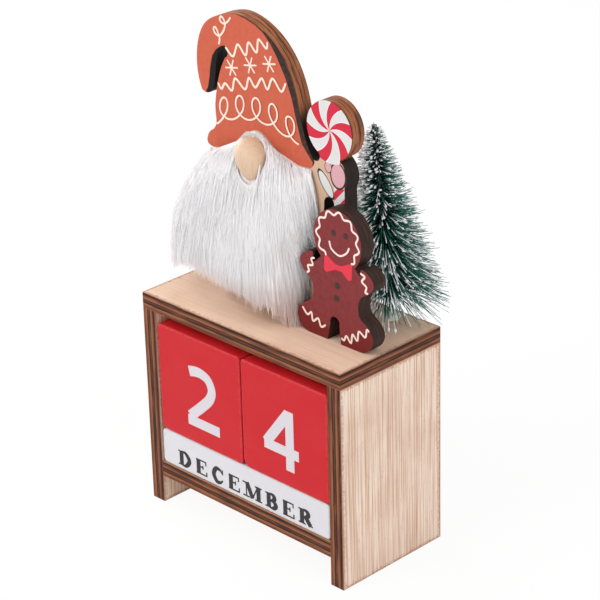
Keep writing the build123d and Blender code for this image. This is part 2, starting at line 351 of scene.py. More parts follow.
class Finish:
    """One material, or the world, whose nodes are added as its pattern is written down."""

    def __init__(self, name, store=None):
        self.material = (bpy.data.materials if store is None else store).new(name)
        self.material.use_nodes = True
        self.tree = self.material.node_tree
        self.tree.nodes.clear()

    def node(self, kind, settings=None, sockets=None, output=0):
        """A new node: its settings first, then the values or links of its sockets."""
        made = self.tree.nodes.new(kind)
        for name, value in (settings or {}).items():
            if name == "stops":
                stops = made.color_ramp.elements
                stops[0].color, stops[1].color = value[0][1], value[-1][1]
                for place, tint in value[1:-1]:
                    stops.new(place).color = tint
            else:
                setattr(made, name, value)
        for name, value in (sockets or {}).items():
            if isinstance(value, Shade):
                self.tree.links.new(value.socket, made.inputs[name])
            else:
                made.inputs[name].default_value = value
        return Shade(self, made.outputs[output]) if made.outputs else made

    def split(self, vector):
        """The three parts of a vector."""
        parts = self.node("ShaderNodeSeparateXYZ", None, {0: vector})
        return [parts.pick(axis) for axis in range(3)]

    def place(self):
        """Object coordinates in millimetres."""
        here = self.node("ShaderNodeTexCoord", output="Object")
        scaled = self.node("ShaderNodeVectorMath", {"operation": "SCALE"}, {0: here, "Scale": 1 / MM})
        return self.split(scaled)

    def facing(self):
        """Direction that the surface faces."""
        return self.split(self.node("ShaderNodeNewGeometry", output="Normal"))

    def plate_sides(self):
        """Masks of the front and the rear of an upright plate."""
        backwards = self.facing()[1]
        return (-backwards).ramp(*PLATE_FACING), backwards.ramp(*PLATE_FACING)

    def background_rays(self):
        """1 for rays that show the background as it is: from the camera, off gloss and through glass."""
        path = self.node("ShaderNodeLightPath")
        camera, gloss, glass = (path.pick(f"Is {kind} Ray") for kind in ("Camera", "Glossy", "Transmission"))
        return camera.most(gloss).most(glass)

    def grain(self, per_mm, detail=3.0, offset=0.0):
        """Noise of so many waves to a millimetre, one number for all axes or one for each."""
        here = self.node("ShaderNodeTexCoord", output="Object")
        scale = tuple(np.broadcast_to(per_mm, 3) / MM)
        sockets = {"Vector": here, "Location": (offset, offset, offset), "Scale": scale}
        moved = self.node("ShaderNodeMapping", None, sockets)
        return self.node("ShaderNodeTexNoise", None, {"Vector": moved, "Scale": 1.0, "Detail": detail})

    def along(self, value, points):
        """Height of a line through points of place and height, read at a value."""
        places, heights = zip(*points)
        low, span = places[0], places[-1] - places[0]
        base, rise = min(heights), max(heights) - min(heights)
        stops = [((place - low) / span, ((height - base) / rise,) * 3 + (1.0,)) for place, height in points]
        return self.node("ShaderNodeValToRGB", {"stops": stops}, {0: (value - low) / span}) * rise + base

    def blend(self, mask, under, over):
        """Colour that goes from under to over as the mask goes from 0 to 1."""
        settings = {"data_type": "RGBA", "clamp_factor": True}
        return self.node("ShaderNodeMix", settings, {0: mask, 6: under, 7: over}, 2)

    def layers(self, base, *coats):
        """Coats of mask and colour, laid one over another."""
        for mask, tint in coats:
            base = self.blend(mask, base, tint)
        return base

    def surface(self, base, roughness, height=None, relief=0.0, **constant):
        """Closes the material with its shader; relief is the bump's height in millimetres."""
        sockets = {"Base Color": base, "Roughness": roughness}
        if height is not None:
            sockets["Normal"] = self.node(
                "ShaderNodeBump", None, {"Strength": 1.0, "Distance": relief * MM, "Height": height}
            )
        sockets.update({name.replace("_", " "): value for name, value in constant.items()})
        shader = self.node("ShaderNodeBsdfPrincipled", None, sockets)
        self.node("ShaderNodeOutputMaterial", None, {"Surface": shader})
        return self


def dress(node, finish):
    """Gives a kept construction node its finish."""
    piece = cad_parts[node]
    if not piece.material_slots:
        piece.data.materials.append(finish.material)
    for slot in piece.material_slots:
        slot.material = finish.material


def show(mesh, finish, body="cabinet", smooth=True):
    """Adds a mesh to the scene as a piece that rides on a body."""
    mesh.materials.append(finish.material)
    mesh.polygons.foreach_set("use_smooth", [smooth] * len(mesh.polygons))
    piece = bpy.data.objects.new(mesh.name, mesh)
    bpy.context.scene.collection.objects.link(piece)
    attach(piece, body)
    return piece


def show_bmesh(name, bm, finish, body="cabinet", smooth=True):
    """Turns a bmesh into a piece."""
    mesh = bpy.data.meshes.new(name)
    bm.to_mesh(mesh)
    bm.free()
    return show(mesh, finish, body, smooth)


def node_surface(node):
    """Corner points and triangles of a construction node."""
    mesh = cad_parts[node].data
    mesh.calc_loop_triangles()
    points = [vertex.co.copy() for vertex in mesh.vertices]
    triangles = [tuple(triangle.vertices) for triangle in mesh.loop_triangles]
    return points, triangles


def smooth_line(points, steps=8):
    """Points of a smooth curve through the given ones."""
    knots = [Vector(point) for point in points]
    knots = [2 * knots[0] - knots[1], *knots, 2 * knots[-1] - knots[-2]]
    line = []
    for before, start, end, after in zip(knots, knots[1:], knots[2:], knots[3:]):
        for step in range(steps):
            t = step / steps
            bend = 2 * before - 5 * start + 4 * end - after
            turn = 3 * start - before - 3 * end + after
            line.append((2 * start + (end - before) * t + bend * t**2 + turn * t**3) / 2)
    return [*line, knots[-2]]


def evenly(points, step):
    """Points at even steps along a line of points."""
    points = [Vector(point) for point in points]
    spans = [(b - a).length for a, b in zip(points, points[1:])]
    count = max(2, ceil(sum(spans) / step))
    line, span, passed = [], 0, 0.0
    for index in range(count + 1):
        target = sum(spans) * index / count
        while span < len(spans) - 1 and passed + spans[span] < target:
            passed += spans[span]
            span += 1
        share = min((target - passed) / max(spans[span], 1e-9), 1.0)
        line.append(points[span].lerp(points[span + 1], share))
    return line


def arc(centre, radii, start, end, steps=24):
    """Points of an arc between two angles in degrees."""
    angles = [radians(start + (end - start) * step / steps) for step in range(steps + 1)]
    return [(centre[0] + radii[0] * cos(angle), centre[1] + radii[1] * sin(angle)) for angle in angles]


class Drawing:
    """Thin raised artwork on a flat face, drawn in millimetres from an origin on that face."""

    # Millimetres by which strokes, and points along a stroke, differ in height, so that no faces coincide
    LIFT_STEP = 0.0015
    LIFT_COUNT = 9
    CLIMB = 0.0003
    # Steps along a line to its width, and the share of the width that its ends keep, squared
    STEPS_PER_WIDTH = 5
    BLUNT_END = 0.02

    def __init__(self, name, depth):
        self.name = name
        self.depth = depth
        self.bm = bmesh.new()
        self.strips = 0

    def on(self, origin, right, up):
        """Moves on to another face."""
        out = right.cross(up)
        self.place = Matrix.Translation(origin) @ Matrix((right, up, out)).transposed().to_4x4()
        return self

    def thicken(self, faces):
        """Gives flat faces their thickness and puts them on the face drawn on."""
        lift = self.LIFT_STEP * (self.strips % self.LIFT_COUNT)
        self.strips += 1
        raised = bmesh.ops.extrude_face_region(self.bm, geom=faces)["geom"]
        tops = [item for item in raised if isinstance(item, bmesh.types.BMVert)]
        bmesh.ops.translate(self.bm, verts=tops, vec=(0, 0, self.depth / MM + lift))
        verts = list(dict.fromkeys([*(vert for face in faces for vert in face.verts), *tops]))
        bmesh.ops.scale(self.bm, verts=verts, vec=(MM, MM, MM))
        bmesh.ops.transform(self.bm, verts=verts, matrix=self.place)

    def strip(self, points, widths, step=None):
        """Lays a strip along points; widths is one width or a function of the share along it."""
        line = [Vector(point) for point in points] if step is None else evenly(points, step)
        last = len(line) - 1
        grid = bmesh.ops.create_grid(self.bm, x_segments=last, y_segments=1, size=1)["verts"]
        rows = [
            sorted((vert for vert in grid if (vert.co.y > 0) == upper), key=lambda vert: vert.co.x)
            for upper in (True, False)
        ]
        for index, point in enumerate(line):
            along = (line[min(index + 1, last)] - line[max(index - 1, 0)]).normalized()
            across = Vector((-along.y, along.x))
            half = (widths(index / last) if callable(widths) else widths) / 2
            for row, side in zip(rows, (1, -1)):
                row[index].co = (*(point + across * half * side), self.CLIMB * index)
        self.thicken(list(dict.fromkeys(face for vert in grid for face in vert.link_faces)))

    def line(self, points, width):
        """Lays a line with round ends."""
        total = sum((Vector(b) - Vector(a)).length for a, b in zip(points, points[1:]))

        def rounded(share):
            end = min(share, 1 - share) * total / (width / 2)
            return width * sqrt(max(1 - (1 - min(end, 1.0)) ** 2, self.BLUNT_END))

        self.strip(points, rounded, width / self.STEPS_PER_WIDTH)

    def patch(self, outline):
        """Fills a closed outline."""
        face = self.bm.faces.new([self.bm.verts.new((*point, 0)) for point in outline])
        self.thicken([face])

    def done(self, finish, slot, body="cabinet"):
        """Closes the drawing and shows it."""
        bmesh.ops.recalc_face_normals(self.bm, faces=self.bm.faces)
        return show_bmesh(self.name, self.bm, finish, body, smooth=False)


# Strokes of the digits from the middle of the digit, in millimetres
DIGITS = {
    "0": [arc((0, 0), (5.2, 8.5), 90, 450, 40)],
    "1": [[(1.2, -10.1), (1.2, 10.1)], [(1.6, 9.0), (-4.4, 5.6)]],
    "2": [
        smooth_line([(-5.5, 8.0), (-3.0, 8.6), (-0.4, 8.65), (2.6, 7.5), (4.05, 4.4), (2.9, 1.2),
                     (-0.6, -2.4), (-5.7, -7.0)]),
        [(-6.8, -8.4), (6.8, -8.4)],
    ],
    "3": [arc((-0.5, 4.5), (4.6, 4.2), 155, -90), arc((-0.5, -4.2), (5.3, 4.5), 90, -155)],
    "4": [[(3.5, -10.0), (3.5, 9.4)], [(-7.0, -4.0), (7.1, -4.0)], [(3.1, 8.6), (-6.2, -3.6)]],
    "5": [
        [(-5.2, 8.4), (5.3, 8.4)],
        [(-4.0, 9.6), (-4.7, 0.6)],
        smooth_line([(-5.0, 1.0), (-1.6, 2.4), (2.6, 1.6), (4.6, -2.8), (2.4, -7.4), (-1.8, -8.5),
                     (-5.8, -7.2)]),
    ],
    "6": [
        arc((0, -3.6), (4.7, 4.8), 90, 450, 36),
        smooth_line([(4.6, 7.6), (1.6, 8.6), (-2.0, 7.2), (-4.2, 2.6), (-4.7, -3.6)]),
    ],
    "7": [[(-6.4, 8.4), (6.4, 8.4)], smooth_line([(5.2, 8.6), (1.6, 2.2), (-1.0, -4.0), (-2.0, -10.1)])],
    "8": [arc((0, 4.6), (4.1, 3.9), 90, 450, 36), arc((0, -4.2), (5.0, 4.4), 90, 450, 36)],
}
DIGIT_MIDDLE = {"date_cube_left": (1.35, -1.9), "date_cube_right": (-1.35, -2.3)}
# Digits of each cube in the order of its faces: front, top, right, left, back and bottom
CUBE_DIGITS = {"date_cube_left": "208761", "date_cube_right": "403125"}
CUBE_FACES = [(RIGHT, UP), (RIGHT, BACK), (BACK, UP), (-BACK, UP), (-RIGHT, UP), (RIGHT, -BACK)]

# Letters in heights of a capital: width, then strokes. A stem and a thin stroke are upright, a slope and a
# fine stroke lean, a level lies across, a foot is a serif, a tick a short upright serif and a bowl a curve
LETTERS = {
    "A": (0.92, [("fine", 0.10, 0.0, 0.44, 1.0), ("slope", 0.44, 1.0, 0.80, 0.0), ("level", 0.3, 0.2, 0.68),
                 ("foot", 0.10, 0.0), ("foot", 0.80, 0.0)]),
    "B": (0.80, [("stem", 0.2, 0.0, 1.0), ("foot", 0.2, 0.0), ("foot", 0.2, 1.0),
                 ("bowl", (0.2, 0.965), (0.46, 0.95), (0.58, 0.75), (0.44, 0.54), (0.2, 0.53)),
                 ("bowl", (0.2, 0.53), (0.5, 0.51), (0.66, 0.28), (0.5, 0.05), (0.2, 0.035))]),
    "C": (0.86, [("bowl", (0.74, 0.74), (0.60, 0.93), (0.34, 0.93), (0.17, 0.5), (0.36, 0.06), (0.62, 0.07),
                  (0.78, 0.27)), ("tick", 0.77, 0.66, 1.0)]),
    "D": (0.90, [("stem", 0.2, 0.0, 1.0), ("foot", 0.2, 0.0), ("foot", 0.2, 1.0),
                 ("bowl", (0.2, 0.965), (0.5, 0.93), (0.74, 0.5), (0.5, 0.07), (0.2, 0.035))]),
    "E": (0.80, [("stem", 0.2, 0.0, 1.0), ("level", 0.965, 0.05, 0.72), ("level", 0.52, 0.2, 0.5),
                 ("level", 0.035, 0.05, 0.76), ("tick", 0.71, 0.72, 1.0), ("tick", 0.5, 0.38, 0.66),
                 ("tick", 0.75, 0.0, 0.3)]),
    "F": (0.76, [("stem", 0.2, 0.0, 1.0), ("foot", 0.2, 0.0), ("level", 0.965, 0.05, 0.7),
                 ("level", 0.5, 0.2, 0.5), ("tick", 0.69, 0.7, 1.0), ("tick", 0.5, 0.36, 0.64)]),
    "G": (0.92, [("bowl", (0.74, 0.74), (0.60, 0.93), (0.34, 0.93), (0.17, 0.5), (0.36, 0.06), (0.6, 0.07),
                  (0.74, 0.2)), ("tick", 0.77, 0.68, 1.0), ("stem", 0.74, 0.06, 0.44), ("foot", 0.74, 0.45)]),
    "H": (0.96, [("stem", 0.2, 0.0, 1.0), ("stem", 0.76, 0.0, 1.0), ("level", 0.5, 0.2, 0.76),
                 ("foot", 0.2, 0.0), ("foot", 0.2, 1.0), ("foot", 0.76, 0.0), ("foot", 0.76, 1.0)]),
    "I": (0.44, [("stem", 0.22, 0.0, 1.0), ("foot", 0.22, 0.0), ("foot", 0.22, 1.0)]),
    "J": (0.58, [("stem", 0.36, 0.22, 1.0), ("foot", 0.36, 1.0),
                 ("bowl", (0.36, 0.3), (0.35, 0.12), (0.24, 0.0), (0.1, 0.1))]),
    "L": (0.78, [("stem", 0.2, 0.0, 1.0), ("foot", 0.2, 1.0), ("level", 0.035, 0.05, 0.74),
                 ("tick", 0.73, 0.0, 0.32)]),
    "M": (1.16, [("thin", 0.16, 0.0, 1.0), ("foot", 0.16, 0.0), ("slope", 0.2, 1.0, 0.56, 0.05),
                 ("fine", 0.56, 0.05, 0.92, 1.0), ("stem", 0.96, 0.0, 1.0), ("foot", 0.96, 0.0),
                 ("foot", 0.96, 1.0), ("foot", 0.14, 1.0)]),
    "N": (0.96, [("thin", 0.16, 0.0, 1.0), ("foot", 0.16, 0.0), ("slope", 0.2, 1.0, 0.78, 0.04),
                 ("thin", 0.80, 0.0, 1.0), ("foot", 0.80, 1.0), ("foot", 0.12, 1.0)]),
    "O": (0.94, [("bowl", (0.47, 0.96), (0.26, 0.88), (0.18, 0.5), (0.26, 0.12), (0.47, 0.04)),
                 ("bowl", (0.47, 0.96), (0.68, 0.88), (0.76, 0.5), (0.68, 0.12), (0.47, 0.04))]),
    "P": (0.78, [("stem", 0.2, 0.0, 1.0), ("foot", 0.2, 0.0), ("foot", 0.2, 1.0),
                 ("bowl", (0.2, 0.965), (0.48, 0.94), (0.62, 0.71), (0.48, 0.47), (0.2, 0.45))]),
    "R": (0.88, [("stem", 0.2, 0.0, 1.0), ("foot", 0.2, 0.0), ("foot", 0.2, 1.0),
                 ("bowl", (0.2, 0.965), (0.48, 0.94), (0.61, 0.74), (0.46, 0.52), (0.2, 0.5)),
                 ("slope", 0.44, 0.5, 0.74, 0.04), ("level", 0.035, 0.66, 0.88)]),
    "S": (0.72, [("bowl", (0.57, 0.76), (0.42, 0.95), (0.2, 0.88), (0.18, 0.66), (0.36, 0.52), (0.54, 0.36),
                  (0.54, 0.12), (0.3, 0.04), (0.12, 0.24)),
                 ("tick", 0.59, 0.7, 1.0), ("tick", 0.1, 0.0, 0.3)]),
    "T": (0.86, [("stem", 0.43, 0.0, 1.0), ("foot", 0.43, 0.0), ("level", 0.965, 0.06, 0.8),
                 ("tick", 0.07, 0.7, 1.0), ("tick", 0.79, 0.7, 1.0)]),
    "U": (0.94, [("stem", 0.2, 0.26, 1.0), ("foot", 0.2, 1.0), ("thin", 0.76, 0.26, 1.0), ("foot", 0.76, 1.0),
                 ("bowl", (0.2, 0.34), (0.26, 0.1), (0.46, 0.03), (0.68, 0.1), (0.76, 0.34))]),
    "V": (0.92, [("slope", 0.14, 1.0, 0.48, 0.0), ("fine", 0.48, 0.0, 0.80, 1.0), ("foot", 0.14, 1.0),
                 ("foot", 0.80, 1.0)]),
    "Y": (0.88, [("slope", 0.12, 1.0, 0.44, 0.46), ("fine", 0.44, 0.46, 0.76, 1.0), ("stem", 0.44, 0.0, 0.5),
                 ("foot", 0.12, 1.0), ("foot", 0.76, 1.0), ("foot", 0.44, 0.0)]),
}
THICK_STROKE = 0.34
THIN_STROKE = 0.095
BOWL_STEPS = 5
BOWL_SWELL = 1.5
SERIF_REACH = 0.22
LETTER_STRETCH = 1.30
LETTER_GAP = 0.36
WORD_DROP = 1.8
# Names of each bar in the order of its faces: front, top, back and bottom
MONTHS = {
    "month_bar_front": ("DECEMBER", "NOVEMBER", "OCTOBER", "SEPTEMBER"),
    "month_bar_middle": ("AUGUST", "JULY", "JUNE", "MAY"),
    "month_bar_rear": ("APRIL", "JANUARY", "MARCH", "FEBRUARY"),
}
BAR_FACES = [(RIGHT, UP), (RIGHT, BACK), (RIGHT, -UP), (RIGHT, -BACK)]


def letter_stroke(kind, values):
    """Path and widths of one stroke of a letter, in heights of a capital."""
    if kind == "bowl":
        swell = THICK_STROKE - THIN_STROKE
        path = smooth_line(values, BOWL_STEPS)
        return path, lambda share: THIN_STROKE + swell * sin(pi * share) ** BOWL_SWELL
    width = THICK_STROKE if kind in ("stem", "slope") else THIN_STROKE
    if kind in ("slope", "fine"):
        start, low, end, high = values
        return [(start, low), (end, high)], width
    if kind == "level":
        z, start, end = values
        return [(start, z), (end, z)], width
    if kind == "foot":
        x, z = values
        level = z + width / 2 * (1 if z == 0 else -1)
        return [(x - SERIF_REACH, level), (x + SERIF_REACH, level)], width
    x, low, high = values
    return [(x, low), (x, high)], width


def draw_word(drawing, word, height):
    """Draws a month's name, centred on the face."""
    span = sum(LETTERS[letter][0] * LETTER_STRETCH + LETTER_GAP for letter in word) - LETTER_GAP
    start = -span / 2
    for letter in word:
        width, strokes = LETTERS[letter]
        for kind, *values in strokes:
            path, widths = letter_stroke(kind, values)
            points = [
                ((start + x * LETTER_STRETCH) * height, (z - 0.5) * height - WORD_DROP) for x, z in path
            ]
            scaled = (lambda share, w=widths: w(share) * height) if callable(widths) else widths * height
            drawing.strip(points, scaled)
        start += width * LETTER_STRETCH + LETTER_GAP


# Board, its veneer, whose tone per board paints the light on it, the axis across its layers, the axis of its
# grain and the strength of its figure
BOARDS = (
    ("top_board", "top_veneer_painted_light", 2, 0, 0.35),
    ("left_side_panel", "side_veneer_painted_light", 0, 2, 1.0),
    ("right_side_panel", "side_veneer_painted_light", 0, 2, 1.0),
    ("shelf_board", "shelf_veneer_painted_shade", 2, 0, 0.6),
)
# Noises of a veneer: waves to a millimetre along and across the grain, offset, ramp and strength
VENEER_NOISES = (
    (0.024, 3.2, 0.0, (0.50, 0.60), 0.60),
    (0.06, 5.0, 1.0, (0.52, 0.66), 0.50),
    (0.45, 3.4, 3.0, (0.62, 0.74), 0.40),
)
# Layers of a board's cut edge, as shares of its thickness
BOARD_PLIES = ((0.0, "ember"), (0.06, "core"), (0.28, "ember"), (0.34, "scorch"), (0.48, "core"),
               (0.56, "scorch"), (0.62, "ember"), (0.80, "core"), (0.86, "scorch"), (0.93, "scorch"),
               (0.96, "ember"), (1.0, "scorch"))
BOARD_PLY_WANDER = 0.06
# How squarely a surface has to face along an axis to count as a face and not as a cut edge
BOARD_FACING = (0.55, 0.8)
PLATE_FACING = (0.5, 0.8)
# Edges of boxes: reach of the darkening on a board's faces and of the tint at a block's edges, which is wear
# and on the date cubes a painted highlight too, in millimetres, then the share of that reach that wanders
EDGE_DARKENING_REACH = 1.3
EDGE_TINT_REACH = 0.8
EDGE_WANDER = 2.2
EDGE_CORE = 0.15
CUBE_WEAR_AND_HIGHLIGHT = 0.4
BAR_WEAR = 0.45


def box_edges(finish, place, node, reach):
    """Mask of the edges of a box-shaped node, ragged over the given reach in millimetres."""
    low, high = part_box(node)
    middle, half = (low + high) / 2 / MM, (high - low) / 2 / MM
    gaps = [half[axis] - abs(place[axis] - middle[axis]) for axis in range(3)]
    smaller, larger = gaps[0].least(gaps[1]), gaps[0].most(gaps[1])
    second = smaller.most(larger.least(gaps[2]))
    ragged = finish.grain(1.1, 4.0, 2.0)
    return (second + (ragged - 0.5) * reach * EDGE_WANDER).ramp(reach, reach * EDGE_CORE)


def waves(axis, along, across):
    """Waves to a millimetre along one axis and across it."""
    return [along if index == axis else across for index in range(3)]


def plywood(look, node, veneer, layer_axis, grain_axis, figure):
    """Veneer on the faces across the layers and a scorched, layered edge elsewhere."""
    finish = Finish(f"{node}_plywood")
    place, facing = finish.place(), finish.facing()
    low, high = (corner[layer_axis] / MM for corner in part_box(node))
    on_face = abs(facing[layer_axis]).ramp(*BOARD_FACING)
    noises, coats = [], []
    for along, across, offset, ramp, strength in VENEER_NOISES:
        noises.append(finish.grain(waves(grain_axis, along, across), 2.0, offset))
        coats.append((noises[-1].ramp(*ramp) * strength * figure, look.grain))
    streaks, fibres, flecks = noises
    cloud = finish.grain(0.06, 2.0, 8.0)
    # Faces darker towards every edge of the board
    edge_darkening = box_edges(finish, place, node, EDGE_DARKENING_REACH)
    # The veneer's tone differs per board as painted light and shade
    face = finish.layers(
        veneer, (cloud.ramp(0.45, 0.75) * 0.22, look.grain), *coats, (edge_darkening * 0.55, look.ember)
    )
    wander = finish.grain(0.10, 2.0, 6.0)
    layer = (place[layer_axis] - low) / (high - low) + (wander - 0.5) * BOARD_PLY_WANDER
    stops = [(share, getattr(look, tone)) for share, tone in BOARD_PLIES]
    plies = finish.node("ShaderNodeValToRGB", {"stops": stops}, {0: layer})
    threads = finish.grain(waves(layer_axis, 2.2, 0.10), 4.0, 5.0)
    soot = finish.grain(waves(layer_axis, 0.5, 0.06), 3.0, 9.0)
    edge = finish.layers(
        plies,
        (threads.ramp(0.52, 0.68) * 0.5, look.ember),
        (threads.ramp(0.46, 0.34) * 0.6, look.scorch),
        (soot.ramp(0.48, 0.68) * 0.45, look.scorch),
    )
    base = finish.blend(on_face, edge, face)
    rough = 0.62 + (flecks - 0.5) * 0.25 + (1 - on_face) * 0.12
    height = streaks * 0.4 + fibres * 0.3 + flecks * 0.4 + (1 - on_face) * threads
    return finish.surface(base, rough, height, 0.12, Specular_IOR_Level=0.25)


def block_paint(node, paint, wear, edge_tint_share):
    """Satin paint on a wooden block, thin and rubbed at the edges, where the date cubes also get a paler
    painted highlight.
    """
    finish = Finish(f"{node}_paint")
    edges = box_edges(finish, finish.place(), node, EDGE_TINT_REACH)
    cloud = finish.grain(0.12)
    fibre = finish.grain((0.12, 2.2, 2.2), 3.0, 4.0)
    peel = finish.grain(2.6, 2.0, 7.0)
    dust = finish.grain(5.0, 1.0, 9.0).ramp(0.72, 0.80)
    base = finish.layers(
        paint,
        (cloud.ramp(0.35, 0.75) * 0.08, wear),
        (fibre.ramp(0.55, 0.8) * 0.08, wear),
        # Edge tint: wear, which on the date cubes is paler and also paints a highlight along the edges
        (edges * edge_tint_share, wear),
        (dust * 0.2, wear),
    )
    rough = 0.42 + (cloud - 0.5) * 0.2 + edges * 0.12
    return finish.surface(base, rough, peel * 0.6 + fibre * 0.8, 0.04, Specular_IOR_Level=0.2)


def ink(name, tint, shade, roughness=0.5):
    """Screen-printed ink with a slightly uneven film."""
    finish = Finish(name)
    film = finish.grain(1.6)
    pinholes = finish.grain(6.0, 1.0, 4.0).ramp(0.72, 0.8)
    base = finish.layers(tint, (film.ramp(0.4, 0.8) * 0.3, shade), (pinholes * 0.4, shade))
    return finish.surface(base, roughness + (film - 0.5) * 0.2, film + pinholes, 0.03)


class CALENDAR_OT_cabinet(bpy.types.Operator):
    """Finishes the plywood boards of the cabinet"""

    bl_idname = "calendar.cabinet"
    bl_label = "Finish cabinet"

    def execute(self, context):
        look = context.scene.calendar_cabinet
        for node, veneer, layer_axis, grain_axis, figure in BOARDS:
            dress(node, plywood(look, node, getattr(look, veneer), layer_axis, grain_axis, figure))
        return {"FINISHED"}


class CALENDAR_OT_date_cubes(bpy.types.Operator):
    """Paints the date cubes and prints their digits"""

    bl_idname = "calendar.date_cubes"
    bl_label = "Finish date cubes"

    def execute(self, context):
        look = context.scene.calendar_blocks
        numerals = ink("numeral_paint", look.numeral_paint, NUMERAL_SHADE, 0.42)
        for node, digits in CUBE_DIGITS.items():
            dress(node, block_paint(node, look.cube_paint, look.cube_wear_and_highlight, CUBE_WEAR_AND_HIGHLIGHT))
            low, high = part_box(node)
            middle, half = (low + high) / 2, (high.x - low.x) / 2
            aside, rise = DIGIT_MIDDLE[node]
            drawing = Drawing(f"{node}_digits", look.print_depth)
            for digit, (right, up) in zip(digits, CUBE_FACES):
                shift = (right * aside + up * rise) * MM
                drawing.on(middle + right.cross(up) * half + shift, right, up)
                for stroke in DIGITS[digit]:
                    drawing.strip(stroke, look.numeral_stroke / MM)
            drawing.done(numerals, "white_paint", node)
        return {"FINISHED"}


class CALENDAR_OT_month_bars(bpy.types.Operator):
    """Paints the month bars and prints their names"""

    bl_idname = "calendar.month_bars"
    bl_label = "Finish month bars"

    def execute(self, context):
        look = context.scene.calendar_blocks
        letters = ink("month_ink", look.month_ink, MONTH_SHADE, 0.55)
        for node, months in MONTHS.items():
            dress(node, block_paint(node, look.bar_paint, look.bar_wear, BAR_WEAR))
            low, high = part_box(node)
            middle, half = (low + high) / 2, (high.z - low.z) / 2
            drawing = Drawing(f"{node}_names", look.print_depth)
            for month, (right, up) in zip(months, BAR_FACES):
                drawing.on(middle + right.cross(up) * half, right, up)
                draw_word(drawing, month, look.letter_height / MM)
            drawing.done(letters, "white_paint", node)
        return {"FINISHED"}


# Places of the gnome's print in millimetres, from the middle of the cabinet and up from its top board
CANDY_MIDDLE = (20.0, 61.2)
CANDY_RADIUS = 8.75
CANDY_RIM = (CANDY_RADIUS + 1.2, CANDY_RADIUS + 0.9)
CANDY_TWIST = 0.65
CANDY_PETALS = 6
CANDY_TURN = radians(10)
BRIM_SLOPE = 0.0945
BRIM_LEVEL = 46.8
BRIM_ARCH = (-9.1, 8.0, 8.3)
HAT_RIGHT = 13.9
HAT_CORNER = 1.9
NOSE_LEAN = 1.6
STICK_TOP = 45.0
STICK_SPAN = (21.3, 25.4)
STRIPE_PITCH = 5.2
STRIPE_SLANT = 1.05
PRINT_EDGE = (-0.12, 0.12)
PRINT_DEPTH = 0.08 * MM
PLATE_GRAIN = (1.4, 1.4, 0.08)
# Ovals of the ribbon: middle, half sizes, the way of the first one and colour
RIBBON = (
    ((18.2, 44.8), (4.9, 1.75), Vector((5.5, -7.5)).normalized(), "candy_white"),
    ((23.0, 48.5), (3.1, 4.1), (1.0, 0.0), "bow"),
    ((19.2, 50.2), (1.4, 1.8), (1.0, 0.0), "bow"),
)
# Right edge of the hat's print and of its hanging tip, as heights and places across
HAT_EDGE = [(50.0, 13.1), (52.0, 11.2), (54.5, 9.0), (60.0, 7.3), (66.9, 5.5), (72.3, 3.3), (78.1, -0.1),
            (81.6, -2.8), (83.8, -5.2), (85.3, -8.2), (86.4, -12.0), (87.0, -16.5)]
TIP_EDGE = [(60.6, -29.8), (62.3, -28.8), (65.6, -28.0), (68.8, -27.5), (72.3, -26.5), (74.5, -24.9),
            (76.0, -22.8), (76.6, -20.8)]
NOTCH_FOOT = (-26.0, 62.0)
NOTCH_SLOPE = 0.31
# Stretches of the cut edge painted near black, partly burn and partly painted shade in these gaps, stronger
# lower down in the slot: beside the ribbon, in the slot by the lollipop and in the hat's notch
RIBBON_WALL_TOP = CANDY_MIDDLE[1] - CANDY_RADIUS + 0.6
SLOT_WALL = (6.5, HAT_RIGHT + 2.0)
SLOT_FADE = (CANDY_MIDDLE[1] + 6.0, CANDY_MIDDLE[1] - 2.0)
NOTCH_WALL = (-29.0, -19.5)
NOTCH_RISE = (60.0, 77.0)
BURN_AND_SHADE = 0.97


def brim_height(x, exponent):
    """Height of the hat's lower edge at a place across the plate, in millimetres."""
    arch_x, arch_rise, arch_width = BRIM_ARCH
    return BRIM_LEVEL + x * BRIM_SLOPE + exponent(-(((x - arch_x) / arch_width) ** 2.0)) * arch_rise


def scorched_wall(finish, y, front, back, scorch, core, glow):
    """Cut edge of a plate, with burnt and brown layers that run along its outline."""
    threads = finish.grain((0.16, 1.5, 0.16), 4.0, 6.0)
    soot = finish.grain((0.10, 0.35, 0.10), 3.0, 1.0)
    layer = (y * MM - front) / (back - front) + (soot - 0.5) * 0.3
    plies = finish.node("ShaderNodeValToRGB", {"stops": [
        (0.0, scorch), (0.10, core), (0.30, core), (0.38, scorch), (0.44, core), (0.62, core), (0.70, scorch),
        (0.76, core), (0.92, core), (1.0, scorch),
    ]}, {0: layer})
    wall = finish.layers(
        plies,
        (threads.ramp(0.50, 0.68) * 0.7, glow),
        (threads.ramp(0.46, 0.32) * 0.8, scorch),
        (soot.ramp(0.50, 0.70) * 0.6, scorch),
    )
    return wall, threads


def oval(x, z, middle, half, way):
    """Distance from the middle of an oval, which is 1 at its outline."""
    along = (x - middle[0]) * way[0] + (z - middle[1]) * way[1]
    beside = (z - middle[1]) * way[0] - (x - middle[0]) * way[1]
    return ((along / half[0]) ** 2.0 + (beside / half[1]) ** 2.0).math("SQRT")


